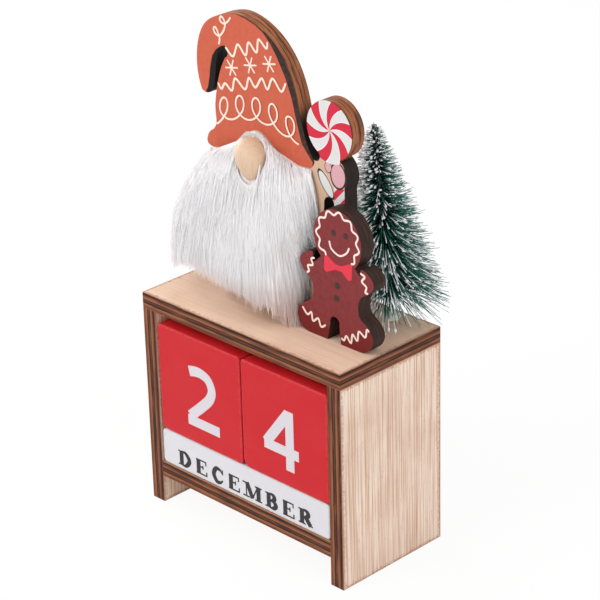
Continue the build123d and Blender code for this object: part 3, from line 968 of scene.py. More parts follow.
def gnome_print(look):
    """Hat, body, lollipop and ribbon on the front, and a scorched edge round them."""
    finish = Finish("gnome_print")
    x, y, z = finish.place()
    z = z - BOARD_TOP / MM
    front, rear = finish.plate_sides()
    film = finish.grain(0.9)
    wood = finish.grain(PLATE_GRAIN, 4.0, 3.0)
    brim = brim_height(x, lambda power: power.math("EXPONENT"))
    corner = (x - HAT_RIGHT + HAT_CORNER).most(0.0) ** 2.0 / HAT_CORNER
    hat = (z - brim - corner).ramp(*PRINT_EDGE) * (x < HAT_RIGHT)
    border = (x - finish.along(z, HAT_EDGE)).ramp(*PRINT_EDGE)
    tip_border = (x - finish.along(z, TIP_EDGE)).ramp(*PRINT_EDGE) * (z < TIP_EDGE[-1][0])
    tip_border = tip_border * (x < (z - NOTCH_FOOT[1]) * NOTCH_SLOPE + NOTCH_FOOT[0])
    across, rise = x - CANDY_MIDDLE[0], z - CANDY_MIDDLE[1]
    reach = (across * across + rise * rise).math("SQRT")
    turn = rise.math("ARCTAN2", across) + (reach / CANDY_RADIUS - 1.0) * CANDY_TWIST - CANDY_TURN
    petal = (turn * CANDY_PETALS).math("COSINE")
    candy = reach.ramp(*CANDY_RIM)
    candy_lines = abs(petal).ramp(0.14, 0.05)
    below_candy = (x > HAT_RIGHT) * (z < CANDY_MIDDLE[1])
    stick = below_candy * (z < STICK_TOP) * x.within(*STICK_SPAN)
    stripe = ((z - x * STRIPE_SLANT) / STRIPE_PITCH).math("FRACT")
    red_stripe = (stripe - 0.5).ramp(-0.03, 0.03)
    ribbon = []
    for middle, half, way, tint in RIBBON:
        shape = oval(x, z, middle, half, way)
        ribbon.append((shape.ramp(1.02, 0.98) * below_candy, look.outline))
        ribbon.append((shape.ramp(0.88, 0.83) * below_candy, getattr(look, tint)))
    face = finish.layers(
        look.body,
        (wood.ramp(0.5, 0.8) * 0.4, WOOD_FIBRE),
        (hat, look.hat),
        (hat * film.ramp(0.4, 0.75) * 0.2, HAT_SHADE),
        (hat * wood.ramp(0.55, 0.8) * 0.16, HAT_LIGHT),
        (hat * border, look.margin),
        (hat * border * film.ramp(0.45, 0.7) * 0.6, MARGIN_LIGHT),
        (hat * tip_border, TIP_MARGIN),
        (stick, look.candy_white),
        (stick * red_stripe, look.candy_red),
        (below_candy * (x > STICK_SPAN[1]), look.margin),
        *ribbon,
        (candy, look.candy_white),
        (candy * petal.ramp(-0.06, 0.06), look.candy_red),
        (candy * candy_lines, look.candy_line),
        (film.ramp(0.62, 0.8) * 0.12, PRINT_DUST),
    )
    wall, threads = scorched_wall(finish, y, GNOME_FRONT, GNOME_BACK, look.scorch, look.core, GNOME_GLOW)
    # Walls of the gaps painted near black: burnt edge and painted shade
    ribbon_wall = (x > HAT_RIGHT) * (z < RIBBON_WALL_TOP)
    slot_wall = x.within(*SLOT_WALL) * z.ramp(*SLOT_FADE)
    notch_wall = x.within(*NOTCH_WALL) * z.within(*NOTCH_RISE)
    burnt_and_shaded = ribbon_wall.most(slot_wall).most(notch_wall)
    bare = finish.layers(look.body, (wood.ramp(0.45, 0.8) * 0.5, WOOD_FIBRE))
    base = finish.layers(wall, (burnt_and_shaded * BURN_AND_SHADE, BURNT_AND_SHADED_WALL), (front, face), (rear, bare))
    rough = 0.6 + (film - 0.5) * 0.2
    height = wood * 0.6 + film * 0.4 + threads * (1 - front) * (1 - rear)
    return finish.surface(base, rough, height, 0.06, Specular_IOR_Level=0.2)


class CALENDAR_OT_gnome(bpy.types.Operator):
    """Prints the gnome's cut-out, draws its pale lines and adds its nose"""

    bl_idname = "calendar.gnome"
    bl_label = "Finish gnome"

    # Lines of the hat's print, as places across and heights over the board, in millimetres
    SCROLL = [(-23.5, 76.3), (-23.0, 78.2), (-23.7, 80.1), (-24.7, 81.3), (-25.4, 80.5), (-24.6, 79.3),
              (-22.9, 79.1), (-21.2, 81.0), (-20.5, 83.0), (-21.1, 84.5), (-22.0, 85.0), (-22.6, 84.2),
              (-22.0, 83.3), (-20.6, 83.2), (-19.1, 84.3), (-18.1, 85.6)]
    ZIGZAGS = [
        [(-20.8, 76.2), (-17.7, 74.1), (-15.6, 78.1), (-12.5, 75.6), (-11.1, 79.7), (-8.0, 77.5),
         (-7.0, 81.5), (-4.0, 79.6), (-3.4, 81.6)],
        [(-24.5, 64.6), (-23.0, 63.1), (-21.4, 65.1), (-18.7, 63.6), (-17.1, 67.6), (-13.2, 65.3),
         (-11.4, 69.1), (-8.9, 66.9), (-6.2, 70.2), (-4.0, 67.5), (-1.8, 71.2), (1.5, 68.2), (3.5, 71.1)],
    ]
    STARS = [(-18.5, 70.5), (-10.8, 73.0), (-3.1, 75.2)]
    STAR_ARM = 2.7
    STAR_TURN = 12
    LOOP_PATH = [(-25.8, 55.1), (-22.4, 57.1), (-15.7, 59.3), (-8.8, 60.3), (-1.9, 60.2), (4.9, 58.0),
                 (8.3, 57.6)]
    LOOPS = 5
    LOOP_STEPS = 28
    LOOP_SWING = 3.2
    LOOP_RISE = 3.5
    # Widths of the finer lines as shares of the line width
    STAR_LINE = 0.7
    LOOP_LINE = 0.8
    SCROLL_LINE = 0.85
    NOSE_SIDES = 40
    NOSE_RINGS = 24
    NOSE_TAPER = 0.13
    NOSE_PINCH = 0.03
    NOSE_CREASE = radians(50)

    def execute(self, context):
        look = context.scene.calendar_gnome
        dress("gnome_plate", gnome_print(look))
        lines = Drawing("hat_lines", PRINT_DEPTH).on(Vector((0, GNOME_FRONT, BOARD_TOP)), RIGHT, UP)
        width = look.line_width / MM
        for zigzag in self.ZIGZAGS:
            lines.line(smooth_line(zigzag), width)
        for star in map(Vector, self.STARS):
            for spoke in range(3):
                angle = radians(60 * spoke + self.STAR_TURN)
                arm = Vector((cos(angle), sin(angle))) * self.STAR_ARM
                lines.line([star - arm, star + arm], width * self.STAR_LINE)
        lines.line(self.loop_line(), width * self.LOOP_LINE)
        lines.line(smooth_line(self.SCROLL), width * self.SCROLL_LINE)
        lines.done(ink("hat_line_ink", look.icing, HAT_LINE_SHADE), "printed_gnome")
        self.add_nose(look)
        return {"FINISHED"}

    def loop_line(self):
        """Loops of a running scroll along its path."""
        places, heights = zip(*self.LOOP_PATH)
        span = places[-1] - places[0]
        line = []
        for index in range(self.LOOPS * self.LOOP_STEPS + 1):
            turns = index / self.LOOP_STEPS
            x = places[0] + span * turns / self.LOOPS + self.LOOP_SWING * sin(2 * pi * turns)
            line.append((x, np.interp(x, places, heights) - self.LOOP_RISE * cos(2 * pi * turns)))
        return line

    def add_nose(self, look):
        """An egg with its blunt end up, cut flat at the cloth."""
        low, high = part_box("nose_bead")
        half_width, half_height = (high.x - low.x) / 2, (high.z - low.z) / 2
        middle = Vector(((low.x + high.x) / 2, low.y + half_width, (low.z + high.z) / 2))
        bm = bmesh.new()
        bmesh.ops.create_uvsphere(bm, u_segments=self.NOSE_SIDES, v_segments=self.NOSE_RINGS, radius=1)
        for vert in bm.verts:
            x, y, z = vert.co
            swell = 1 + self.NOSE_TAPER * z * (1 - z**2) - self.NOSE_PINCH * z**2
            vert.co = (x * half_width * swell - z * NOSE_LEAN * MM, y * half_width * swell, z * half_height)
        bmesh.ops.translate(bm, verts=bm.verts, vec=middle)
        everything = [*bm.verts, *bm.edges, *bm.faces]
        cut = bmesh.ops.bisect_plane(
            bm, geom=everything, plane_co=(0, high.y, 0), plane_no=BACK, clear_outer=True
        )["geom_cut"]
        bmesh.ops.contextual_create(bm, geom=[item for item in cut if isinstance(item, bmesh.types.BMEdge)])
        bmesh.ops.recalc_face_normals(bm, faces=bm.faces)
        finish = Finish("sanded_nose_wood")
        rings = finish.grain((1.3, 1.3, 0.16), 4.0)
        pores = finish.grain((5.0, 5.0, 0.7), 2.0, 5.0)
        base = finish.layers(
            look.nose,
            (rings.ramp(0.42, 0.72) * 0.5, NOSE_RING),
            (pores.ramp(0.62, 0.76) * 0.4, NOSE_PORE),
        )
        finish.surface(base, 0.5 + (rings - 0.5) * 0.2, pores + rings * 0.5, 0.05)
        nose = show_bmesh("nose_egg", bm, finish)
        nose.data.set_sharp_from_angle(angle=self.NOSE_CREASE)
        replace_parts(nose, "nose_bead")


# Upper edges of the figure's feet: a place across, the height there and the slope, in millimetres
LEFT_FOOT = (12.7, 7.3, -0.33)
RIGHT_FOOT = (28.0, 2.0, 0.5)
FOOT_EDGE = (-0.3, 0.3)
LEGS_PART = 25.0


def gingerbread_print(look):
    """Baked dough on the front, with darker feet, and a scorched edge round it."""
    finish = Finish("gingerbread_print")
    x, y, z = finish.place()
    z = z - BOARD_TOP / MM
    front, rear = finish.plate_sides()
    film = finish.grain(0.8, 4.0)
    crumb = finish.grain(2.6, 3.0, 2.0)
    wood = finish.grain(PLATE_GRAIN, 4.0, 3.0)
    left_foot, right_foot = (
        ((x - place) * slope + height - z).ramp(*FOOT_EDGE)
        for place, height, slope in (LEFT_FOOT, RIGHT_FOOT)
    )
    feet = (left_foot * (x < LEGS_PART)).most(right_foot * (x > LEGS_PART))
    face = finish.layers(
        look.dough,
        (feet, look.feet),
        (film.ramp(0.4, 0.8) * 0.35, DOUGH_SHADE),
        (crumb.ramp(0.58, 0.76) * 0.3, DOUGH_CRUMB),
    )
    wall, threads = scorched_wall(finish, y, GINGER_FRONT, GINGER_BACK, look.scorch, GINGER_CORE, GINGER_GLOW)
    bare = finish.layers(BARE_WOOD, (wood.ramp(0.45, 0.8) * 0.5, WOOD_FIBRE))
    base = finish.layers(wall, (front, face), (rear, bare))
    height = wood * 0.4 + crumb * 0.6 + threads * 0.4
    return finish.surface(base, 0.6 + (film - 0.5) * 0.25, height, 0.06, Specular_IOR_Level=0.2)


class CALENDAR_OT_gingerbread(bpy.types.Operator):
    """Prints the gingerbread figure and draws its icing, face, tie and buttons"""

    bl_idname = "calendar.gingerbread"
    bl_label = "Finish gingerbread"

    # Icing round the head: middle, radius and its waves, with the angles in degrees
    HEAD = (27.3, 32.3)
    ICING_RADIUS = 7.7
    ICING_SWING = 0.6
    ICING_WAVES = 9
    ICING_START = -50
    ICING_SWEEP = 284
    ICING_STEPS = 180
    # Other artwork, as places across and heights over the board, in millimetres
    SMILE = [(24.0, 31.0), (24.9, 28.7), (27.9, 27.5), (30.6, 29.0), (31.8, 31.0)]
    SMILE_LINE = 0.9
    CUFFS = [
        [(18.1, 24.0), (16.8, 23.3), (17.3, 21.6), (15.4, 20.9), (15.8, 19.4), (14.9, 18.6)],
        [(35.8, 24.6), (37.5, 23.9), (36.4, 22.2), (38.1, 21.0), (37.7, 19.3), (38.8, 19.2)],
        [(12.7, 7.3), (14.7, 5.4), (16.3, 6.5), (16.9, 4.0), (19.0, 5.4), (20.1, 3.2), (22.0, 4.3)],
        [(28.0, 2.2), (29.1, 1.8), (30.1, 3.4), (31.8, 1.8), (32.5, 4.7), (34.3, 3.3), (35.0, 6.4),
         (37.4, 5.4), (38.1, 7.9), (39.0, 7.5)],
    ]
    CUFF_STEPS = 6
    TIE = [(21.9, 25.5), (23.2, 26.2), (26.3, 24.4), (28.8, 24.6), (31.7, 26.1), (32.8, 25.8), (32.4, 21.3),
           (31.1, 20.9), (28.7, 22.8), (26.1, 22.7), (22.6, 21.0), (21.8, 21.6)]
    EYES = [(25.7, 33.8), (30.4, 34.1)]
    EYE_RADII = (0.85, 0.95)
    BUTTONS = [(26.8, 18.0), (26.4, 14.0)]
    BUTTON_RADII = (1.0, 1.0)
    DOT_SIDES = 20

    def execute(self, context):
        look = context.scene.calendar_gingerbread
        dress("gingerbread_plate", gingerbread_print(look))
        width = look.line_width / MM
        icing = self.drawing("icing_lines")
        icing.line(self.head_line(), width)
        icing.line(smooth_line(self.SMILE), width * self.SMILE_LINE)
        for cuff in self.CUFFS:
            icing.line(smooth_line(cuff, self.CUFF_STEPS), width)
        icing.done(ink("icing_ink", look.icing, ICING_SHADE), "printed_gingerbread")
        dark = self.drawing("eyes_and_buttons")
        for dots, radii in ((self.EYES, self.EYE_RADII), (self.BUTTONS, self.BUTTON_RADII)):
            for dot in dots:
                dark.patch(arc(dot, radii, 0, 360 - 360 / self.DOT_SIDES, self.DOT_SIDES - 1))
        dark.done(ink("eye_ink", look.eyes, EYE_SHADE), "printed_gingerbread")
        tie = self.drawing("bow_tie")
        tie.patch(self.TIE)
        tie.done(ink("tie_ink", look.tie, TIE_SHADE), "printed_gingerbread")
        return {"FINISHED"}

    def drawing(self, name):
        """A drawing on the figure's front."""
        return Drawing(name, PRINT_DEPTH).on(Vector((0, GINGER_FRONT, BOARD_TOP)), RIGHT, UP)

    def head_line(self):
        """Waved line of icing round the head."""
        line = []
        for index in range(self.ICING_STEPS + 1):
            share = index / self.ICING_STEPS
            angle = radians(self.ICING_START + self.ICING_SWEEP * share)
            reach = self.ICING_RADIUS + self.ICING_SWING * sin(2 * pi * self.ICING_WAVES * share)
            line.append((self.HEAD[0] + reach * cos(angle), self.HEAD[1] + reach * sin(angle)))
        return line


# Smallest length that a direction is divided by, and the width of a hair on its map
TINY = 1e-12
HAIR_COLUMN = 0.004


def hairs(name, paths, outs, radii, sides, tones):
    """One mesh of tapering hairs, each with a flat side outwards.

    The map of a hair runs along it, in the column that its tone gives.
    """
    count, rings = paths.shape[:2]
    along = np.gradient(paths, axis=1)
    along /= np.linalg.norm(along, axis=2, keepdims=True) + TINY
    first = outs - along * (outs * along).sum(axis=2, keepdims=True)
    first /= np.linalg.norm(first, axis=2, keepdims=True) + TINY
    second = np.cross(along, first)
    angles = 2 * pi * (np.arange(sides) + 0.5) / sides
    ring = first[:, :, None] * np.cos(angles)[:, None] + second[:, :, None] * np.sin(angles)[:, None]
    points = paths[:, :, None] + ring * radii[:, :, None, None]
    base = (np.arange(count) * rings * sides)[:, None, None]
    step = (np.arange(rings - 1) * sides)[None, :, None]
    side = np.arange(sides)[None, None]
    after = (side + 1) % sides
    quads = np.stack([base + step + side, base + step + after, base + step + sides + after,
                      base + step + sides + side], axis=-1).reshape(-1, 4)
    ends = np.arange(sides)
    caps = np.concatenate([base[:, 0] + ends[::-1], base[:, 0] + (rings - 1) * sides + ends])
    corners = np.concatenate([quads.ravel(), caps.ravel()])
    mesh = bpy.data.meshes.new(name)
    mesh.vertices.add(count * rings * sides)
    mesh.vertices.foreach_set("co", points.ravel())
    mesh.loops.add(len(corners))
    mesh.loops.foreach_set("vertex_index", corners)
    starts = np.concatenate([np.arange(len(quads)) * 4, quads.size + np.arange(len(caps)) * sides])
    mesh.polygons.add(len(starts))
    mesh.polygons.foreach_set("loop_start", starts)
    mesh.update(calc_edges=True)
    column = np.repeat(tones, rings * sides)
    row = np.tile(np.repeat(np.linspace(0, 1, rings), sides), count)
    spread = np.tile(np.arange(sides) / sides * HAIR_COLUMN, count * rings)
    chart = mesh.uv_layers.new(name="OFBake")
    chart.uv.foreach_set("vector", np.stack([column + spread, row], axis=1)[corners].ravel())
    return mesh


def hair_map(finish):
    """Tone of a hair and share of the way along it."""
    chart = finish.node("ShaderNodeUVMap", {"uv_map": "OFBake"})
    tone, share, _ = finish.split(chart)
    return tone, share


class CALENDAR_OT_beard(bpy.types.Operator):
    """Grows the beard's fur over its pile and finishes the cloth that it grows from"""

    bl_idname = "calendar.beard"
    bl_label = "Grow beard"

    # Make-up of the fur
    HAIR_STEPS = 6
    HAIR_SIDES = 3
    GUIDES = 420
    PIECES = ("left", "middle_left", "middle", "middle_right", "right")
    RADIUS_SPREAD = (0.7, 1.15)
    TIP_RADIUS = 0.25
    TONES = (0.01, 0.98)
    # How hairs are drawn together into locks: rise along a hair, pull, and more pull where the fur is loose
    LOCK_RISE = 1.6
    LOCK_PULL = (0.1, 0.4)
    LOOSE_PULL = 0.5
    # Faces of the pile that bear hairs: not turned further back or down than this
    OPEN_BACK = 0.3
    OPEN_DOWN = -0.75
    # Lower ends of the hairs, as places across and heights over the board, in millimetres as all below
    FRINGE = [(-40.0, 6.5), (-33.0, 9.5), (-27.0, 11.3), (-20.0, 11.0), (-12.0, 10.2), (-4.0, 9.2),
              (2.0, 6.6), (6.0, 3.2), (10.0, 0.8)]
    FRINGE_SPREAD = 1.5
    FRINGE_ROOM = 2.0
    # Hat's edge over the fur: slide and rise for each millimetre that the fur stands out
    BRIM_SLANT = (1.02, 0.67)
    BRIM_SPAN = (-28.5, 13.0)
    BROW_DROP = (0.1, 1.6)
    # Room for the nose, with its parting and rim as shares of its size
    NOSE_GAP = 0.45
    NOSE_CLOSE = 0.8
    NOSE_FILL = 0.6
    NOSE_SINK = 1.0
    NOSE_PART = (0.76, 0.92)
    RIM = (0.93, 1.14)
    RIM_ARC = (-pi - 0.5, 0.3)
    RIM_LEAN = -0.8
    # Hairs below the fringe
    UNDER_TOP = (-1.0, 5.0)
    UNDER_END = (0.2, 2.2)
    UNDER_SPREAD = 0.9
    UNDER_OUT = (0.1, 1.3)
    UNDER_START = 0.3
    # Stray hairs at the right
    STRAYS = 600
    STRAY_LIFT = (2.0, 5.0)
    STRAY_START = 3.0
    STRAY_FACING = 0.5
    STRAY_LENGTH = 0.7
    # Right side, where the fur comes apart
    LOOSE_SIDE = (-6.0, 6.0)
    LOOSE_DRAW = 0.4
    LOOSE_SPREAD = 1.6
    LOOSE_SHARE = 0.7
    LOOSE_HEIGHT = 20.0
    LOOSE_RISE = 8.0
    # Growth of one hair
    LENGTH_SPREAD = (0.7, 1.25)
    LENGTH_SLACK = 1.03
    SHORTEST = 1.5
    STAND = (0.1, 2.0)
    SWAY_SIZE = 9.0
    CURL_SIZE = 2.5
    CURL_OFFSET = Vector((7, 7, 7))
    SWEEP = 0.22
    ROOT_DEPTH = 0.6
    OVERHANG = -0.3
    SETTLE = 0.35
    FLOOR_GAP = (0.2, 0.7)
    FLOOR_SPLAY = 0.5
    GINGER_NEAR = 3.0
    GINGER_GAP = 0.3
    BACK_ROOM = 1.5
    # Undercoat
    SHRINK = 1.0
    MERGE = 0.01
    BACK_GAP = 0.05
    # Painted shade, warm-toned, on the fur at the lower left near the board
    WARM_SHADE_HEIGHT = (16.0, 3.0)
    WARM_SHADE_SIDE = (-32.0, -16.0)

    def execute(self, context):
        look = context.scene.calendar_beard
        draw = np.random.default_rng(look.seed)
        noise.seed_set(look.seed)
        self.nose = BVHTree.FromPolygons(*node_surface("nose_bead"))
        points, triangles = node_surface("beard_pile")
        hollow = [self.at_nose(point) for point in points]
        triangles = [corners for corners in triangles if not all(hollow[corner] for corner in corners)]
        self.skin = BVHTree.FromPolygons(points, triangles)
        self.ginger = BVHTree.FromPolygons(*node_surface("gingerbread_plate"))
        self.pile_low, self.pile_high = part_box("beard_pile")
        low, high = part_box("nose_bead")
        self.nose_middle, self.nose_half = (low + high) / 2, (high - low) / 2
        finish = self.fur_finish(look)
        roots = self.pile_roots(points, triangles, look, draw)
        guides = [self.grow(*root, draw) for root in roots[:self.GUIDES]]
        paths = self.comb(roots, guides, draw)
        paths = paths[np.argsort(paths[:, 0, 0], kind="stable")]
        for label, part in zip(self.PIECES, np.array_split(paths, len(self.PIECES))):
            self.add_fur(f"beard_fur_{label}", part, look, finish, draw)
        short = self.brow_roots(look, draw) + self.rim_roots(look, draw) + self.stray_roots(roots, look)
        self.add_fur("beard_fur_brow", self.comb(short, guides, draw), look, finish, draw)
        self.add_fur("beard_fur_under", self.under_hairs(look, draw), look, finish, draw)
        self.add_undercoat(look)
        self.finish_cloth()
        return {"FINISHED"}

    def comb(self, roots, guides, draw):
        """Hairs from their roots, drawn together into locks along the nearest guides."""
        nearest = KDTree(len(guides))
        for index, guide in enumerate(guides):
            nearest.insert(guide[1], index)
        nearest.balance()
        hold = np.linspace(0, 1, self.HAIR_STEPS + 1) ** self.LOCK_RISE
        paths = np.empty((len(roots), self.HAIR_STEPS + 1, 3))
        for index, root in enumerate(roots):
            own = np.array(self.grow(*root[:3], draw, *root[3:]))
            guide = np.array(guides[nearest.find(Vector(own[1]))[1]])
            loose = self.LOOSE_PULL * self.looseness(own[0][0])
            pull = (hold * (draw.uniform(*self.LOCK_PULL) + loose))[:, None]
            paths[index] = own * (1 - pull) + (guide + own[1] - guide[1]) * pull
        return paths

    def add_fur(self, name, paths, look, finish, draw):
        """Shows a set of hairs as one piece."""
        taper = np.linspace(1, self.TIP_RADIUS, self.HAIR_STEPS + 1)
        radii = look.hair_radius * draw.uniform(*self.RADIUS_SPREAD, len(paths))[:, None] * taper
        outs = np.array([[self.outward(path[self.HAIR_STEPS // 2])] for path in paths])
        mesh = hairs(name, paths, outs, radii, self.HAIR_SIDES, draw.uniform(*self.TONES, len(paths)))
        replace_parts(show(mesh, finish, smooth=False), "beard_pile")

    def outward(self, point):
        """Way out of the fur at a point, never downwards."""
        way = self.skin.find_nearest(Vector(point))[1]
        return (way.x, min(way.y, -0.1), max(way.z, 0.0))

    def at_nose(self, point):
        """Whether a point of the pile lies in the hollow that holds the nose."""
        return self.nose.find_nearest(point)[3] < self.NOSE_CLOSE * MM

    def looseness(self, x):
        """How far the fur has come apart at a place across, from 0 to 1."""
        left, right = self.LOOSE_SIDE
        return min(max((x / MM - left) / (right - left), 0.0), 1.0)

    def brim_limit(self, point):
        """Height that the fur may reach at a point, which rises as it stands out from the plate."""
        out = (GNOME_FRONT - point.y) / MM
        slide, rise = self.BRIM_SLANT
        return BOARD_TOP + (brim_height(point.x / MM - slide * out, exp) + rise * out) * MM

    def fringe(self, x):
        """Height at which the hairs end: clear of the board at the left and near it at the right."""
        return BOARD_TOP + np.interp(x / MM, *zip(*self.FRINGE)) * MM

    def pile_roots(self, points, triangles, look, draw):
        """Places on the pile's open faces, spread by area, each with the way it faces."""
        corners = np.array([[points[index][:] for index in triangle] for triangle in triangles])
        cross = np.cross(corners[:, 1] - corners[:, 0], corners[:, 2] - corners[:, 0])
        area = np.linalg.norm(cross, axis=1)
        facing = cross / np.maximum(area, TINY)[:, None]
        open_face = (facing[:, 1] < self.OPEN_BACK) & (facing[:, 2] > self.OPEN_DOWN)
        weight = np.where(open_face, area, 0)
        picks = draw.choice(len(corners), size=look.strands, p=weight / weight.sum())
        split, slide = np.sqrt(draw.random(look.strands)), draw.random(look.strands)
        shares = np.stack([1 - split, split * (1 - slide), split * slide], axis=1)
        spots = (corners[picks] * shares[:, :, None]).sum(axis=1)
        roots = []
        for spot, face in zip(map(Vector, spots), map(Vector, facing[picks])):
            clear_of_nose = self.nose.find_nearest(spot)[3] > self.NOSE_GAP * MM
            height = (spot.z - BOARD_TOP) / (self.LOOSE_HEIGHT * MM)
            sparse = self.LOOSE_SHARE * self.looseness(spot.x) * sqrt(max(1 - height, 0.0))
            if draw.random() < sparse:
                continue
            lowest = self.fringe(spot.x) + self.FRINGE_ROOM * MM
            if clear_of_nose and lowest < spot.z < self.brim_limit(spot):
                roots.append((spot, face, look.hair_length))
        return roots

    def brow_roots(self, look, draw):
        """Places along the hat's lower edge, for short hairs that hide where the pile begins."""
        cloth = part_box("beard_backing")[0].y
        roots = []
        for x in draw.uniform(*self.BRIM_SPAN, look.brow_strands):
            drop = draw.uniform(*self.BROW_DROP)
            spot = Vector((x * MM, cloth, BOARD_TOP + (brim_height(x, exp) - drop) * MM))
            roots.append((spot, -BACK, look.brow_length))
        return roots

    def rim_roots(self, look, draw):
        """Places under the nose's lower half, for short hairs that close the pile round it."""
        roots = []
        for angle in draw.uniform(*self.RIM_ARC, look.rim_strands):
            lean = sin(angle) * NOSE_LEAN * MM
            way = Vector((cos(angle), self.RIM_LEAN, sin(angle))).normalized()
            rim = Vector((cos(angle) * self.nose_half.x - lean, 0, sin(angle) * self.nose_half.z))
            inner, outer = (self.nose_middle + rim * share for share in self.RIM)
            outer.y = self.pile_low.y
            hit = self.skin.ray_cast(outer, BACK)[0]
            if hit:
                inner.y = hit.y
                roots.append((inner, way, look.brow_length))
        return roots

    def stray_roots(self, roots, look):
        """Roots at the pile's right side, for loose hairs that stand away over the plate."""
        out = (RIGHT - BACK).normalized()
        reach = look.hair_length * self.STRAY_LENGTH
        start = self.STRAY_START * MM
        side = [spot for spot, face, _ in roots if spot.x > start and face.x > self.STRAY_FACING]
        return [(spot, out, reach, self.STRAY_LIFT) for spot in side[:self.STRAYS]]

    def under_hairs(self, look, draw):
        """Hairs that hang close to the cloth below the fringe, down to the board."""
        low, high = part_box("beard_backing")
        count = look.under_strands
        x = draw.uniform(low.x, high.x, (count, 1))
        top = self.fringe(x) + draw.uniform(*self.UNDER_TOP, (count, 1)) * MM
        end = BOARD_TOP + draw.uniform(*self.UNDER_END, (count, 1)) * MM
        fall = np.linspace(0, 1, self.HAIR_STEPS + 1)
        side = draw.normal(0, self.UNDER_SPREAD, (count, 1)) * MM
        out = draw.uniform(*self.UNDER_OUT, (count, 1)) * MM
        y = low.y - out * (self.UNDER_START + fall)
        return np.stack([x + side * fall, y, top + (end - top) * fall], axis=2)

    def grow(self, spot, face, reach, draw, stand=STAND):
        """Points of one hair that falls over the pile from a root."""
        spread = self.FRINGE_SPREAD + self.LOOSE_SPREAD * self.looseness(spot.x)
        end = self.fringe(spot.x) + draw.normal(0, spread) * MM
        room = max((spot.z - end) * self.LENGTH_SLACK, self.SHORTEST * MM)
        step = min(reach * draw.uniform(*self.LENGTH_SPREAD), room) / self.HAIR_STEPS
        sway = noise.noise_vector(spot / (self.SWAY_SIZE * MM))
        curl = noise.noise_vector(spot / (self.CURL_SIZE * MM) + self.CURL_OFFSET)
        middle = (self.pile_low.x + self.pile_high.x) / 2
        sweep = RIGHT * self.SWEEP * (spot.x - middle) / (self.pile_high.x - middle)
        lift = (stand[0] + stand[1] * draw.random() ** 3) * MM
        heading = (face * 0.5 - UP * 0.8 + sway * 0.15 + sweep).normalized()
        point = spot - face * self.ROOT_DEPTH * MM
        line = [point.copy()]
        floor = BOARD_TOP + draw.uniform(*self.FLOOR_GAP) * MM
        for index in range(self.HAIR_STEPS):
            point = point + heading * step
            near, way, _, _ = self.skin.find_nearest(point)
            gap = (point - near).dot(way)
            wanted = lift * (index + 1) / self.HAIR_STEPS
            fall = -UP
            if way.z > self.OVERHANG:
                point = point + way * (wanted - gap) * (1.0 if gap < wanted else self.SETTLE)
                fall = (way * way.z - UP).normalized()
            self.part_round_nose(point)
            near, out, _, far = self.ginger.find_nearest(point)
            if far < self.GINGER_NEAR * MM and (point - near).dot(out) < self.GINGER_GAP * MM:
                point = near + out * self.GINGER_GAP * MM
            if point.z < floor:
                point.z = floor
                point += Vector((face.x, min(face.y, -0.2), 0)) * step * self.FLOOR_SPLAY
            point.y = min(point.y, GNOME_FRONT + self.BACK_ROOM * MM)
            line.append(point.copy())
            heading = (heading * 0.4 + (fall + sweep) * 0.6 + curl * 0.08 + sway * 0.10).normalized()
        return line

    def part_round_nose(self, point):
        """Moves a point of a hair aside where it would lie on the nose."""
        half_x, half_z = self.nose_half.x * self.NOSE_PART[0], self.nose_half.z * self.NOSE_PART[1]
        rise = (point.z - self.nose_middle.z) / half_z
        middle = self.nose_middle.x - rise * NOSE_LEAN * MM
        across = (point.x - middle) / half_x
        if across**2 + rise**2 < 1:
            point.x = middle + copysign(sqrt(1 - rise**2), across) * half_x

    def fur_finish(self, look):
        """Soft white hairs, shaded at the root."""
        finish = Finish("beard_fur_hair")
        tone, share = hair_map(finish)
        flicker = (tone * 57.0).math("FRACT")
        across, _, height = finish.place()
        # Painted warm shade on the hairs low down at the left
        warm_shade = (height - BOARD_TOP / MM).ramp(*self.WARM_SHADE_HEIGHT) * across.ramp(*self.WARM_SHADE_SIDE)
        base = finish.layers(
            look.root,
            (share.ramp(0.0, 0.4), look.fur),
            (flicker.ramp(0.55, 1.0) * 0.35, HAIR_SHADE),
            (flicker.ramp(0.3, 0.0) * 0.5, HAIR_LIGHT),
            (warm_shade * 0.9, HAIR_WARM_SHADE),
        )
        return finish.surface(base, 0.55 + flicker * 0.2, Specular_IOR_Level=0.3, Sheen_Weight=0.15)

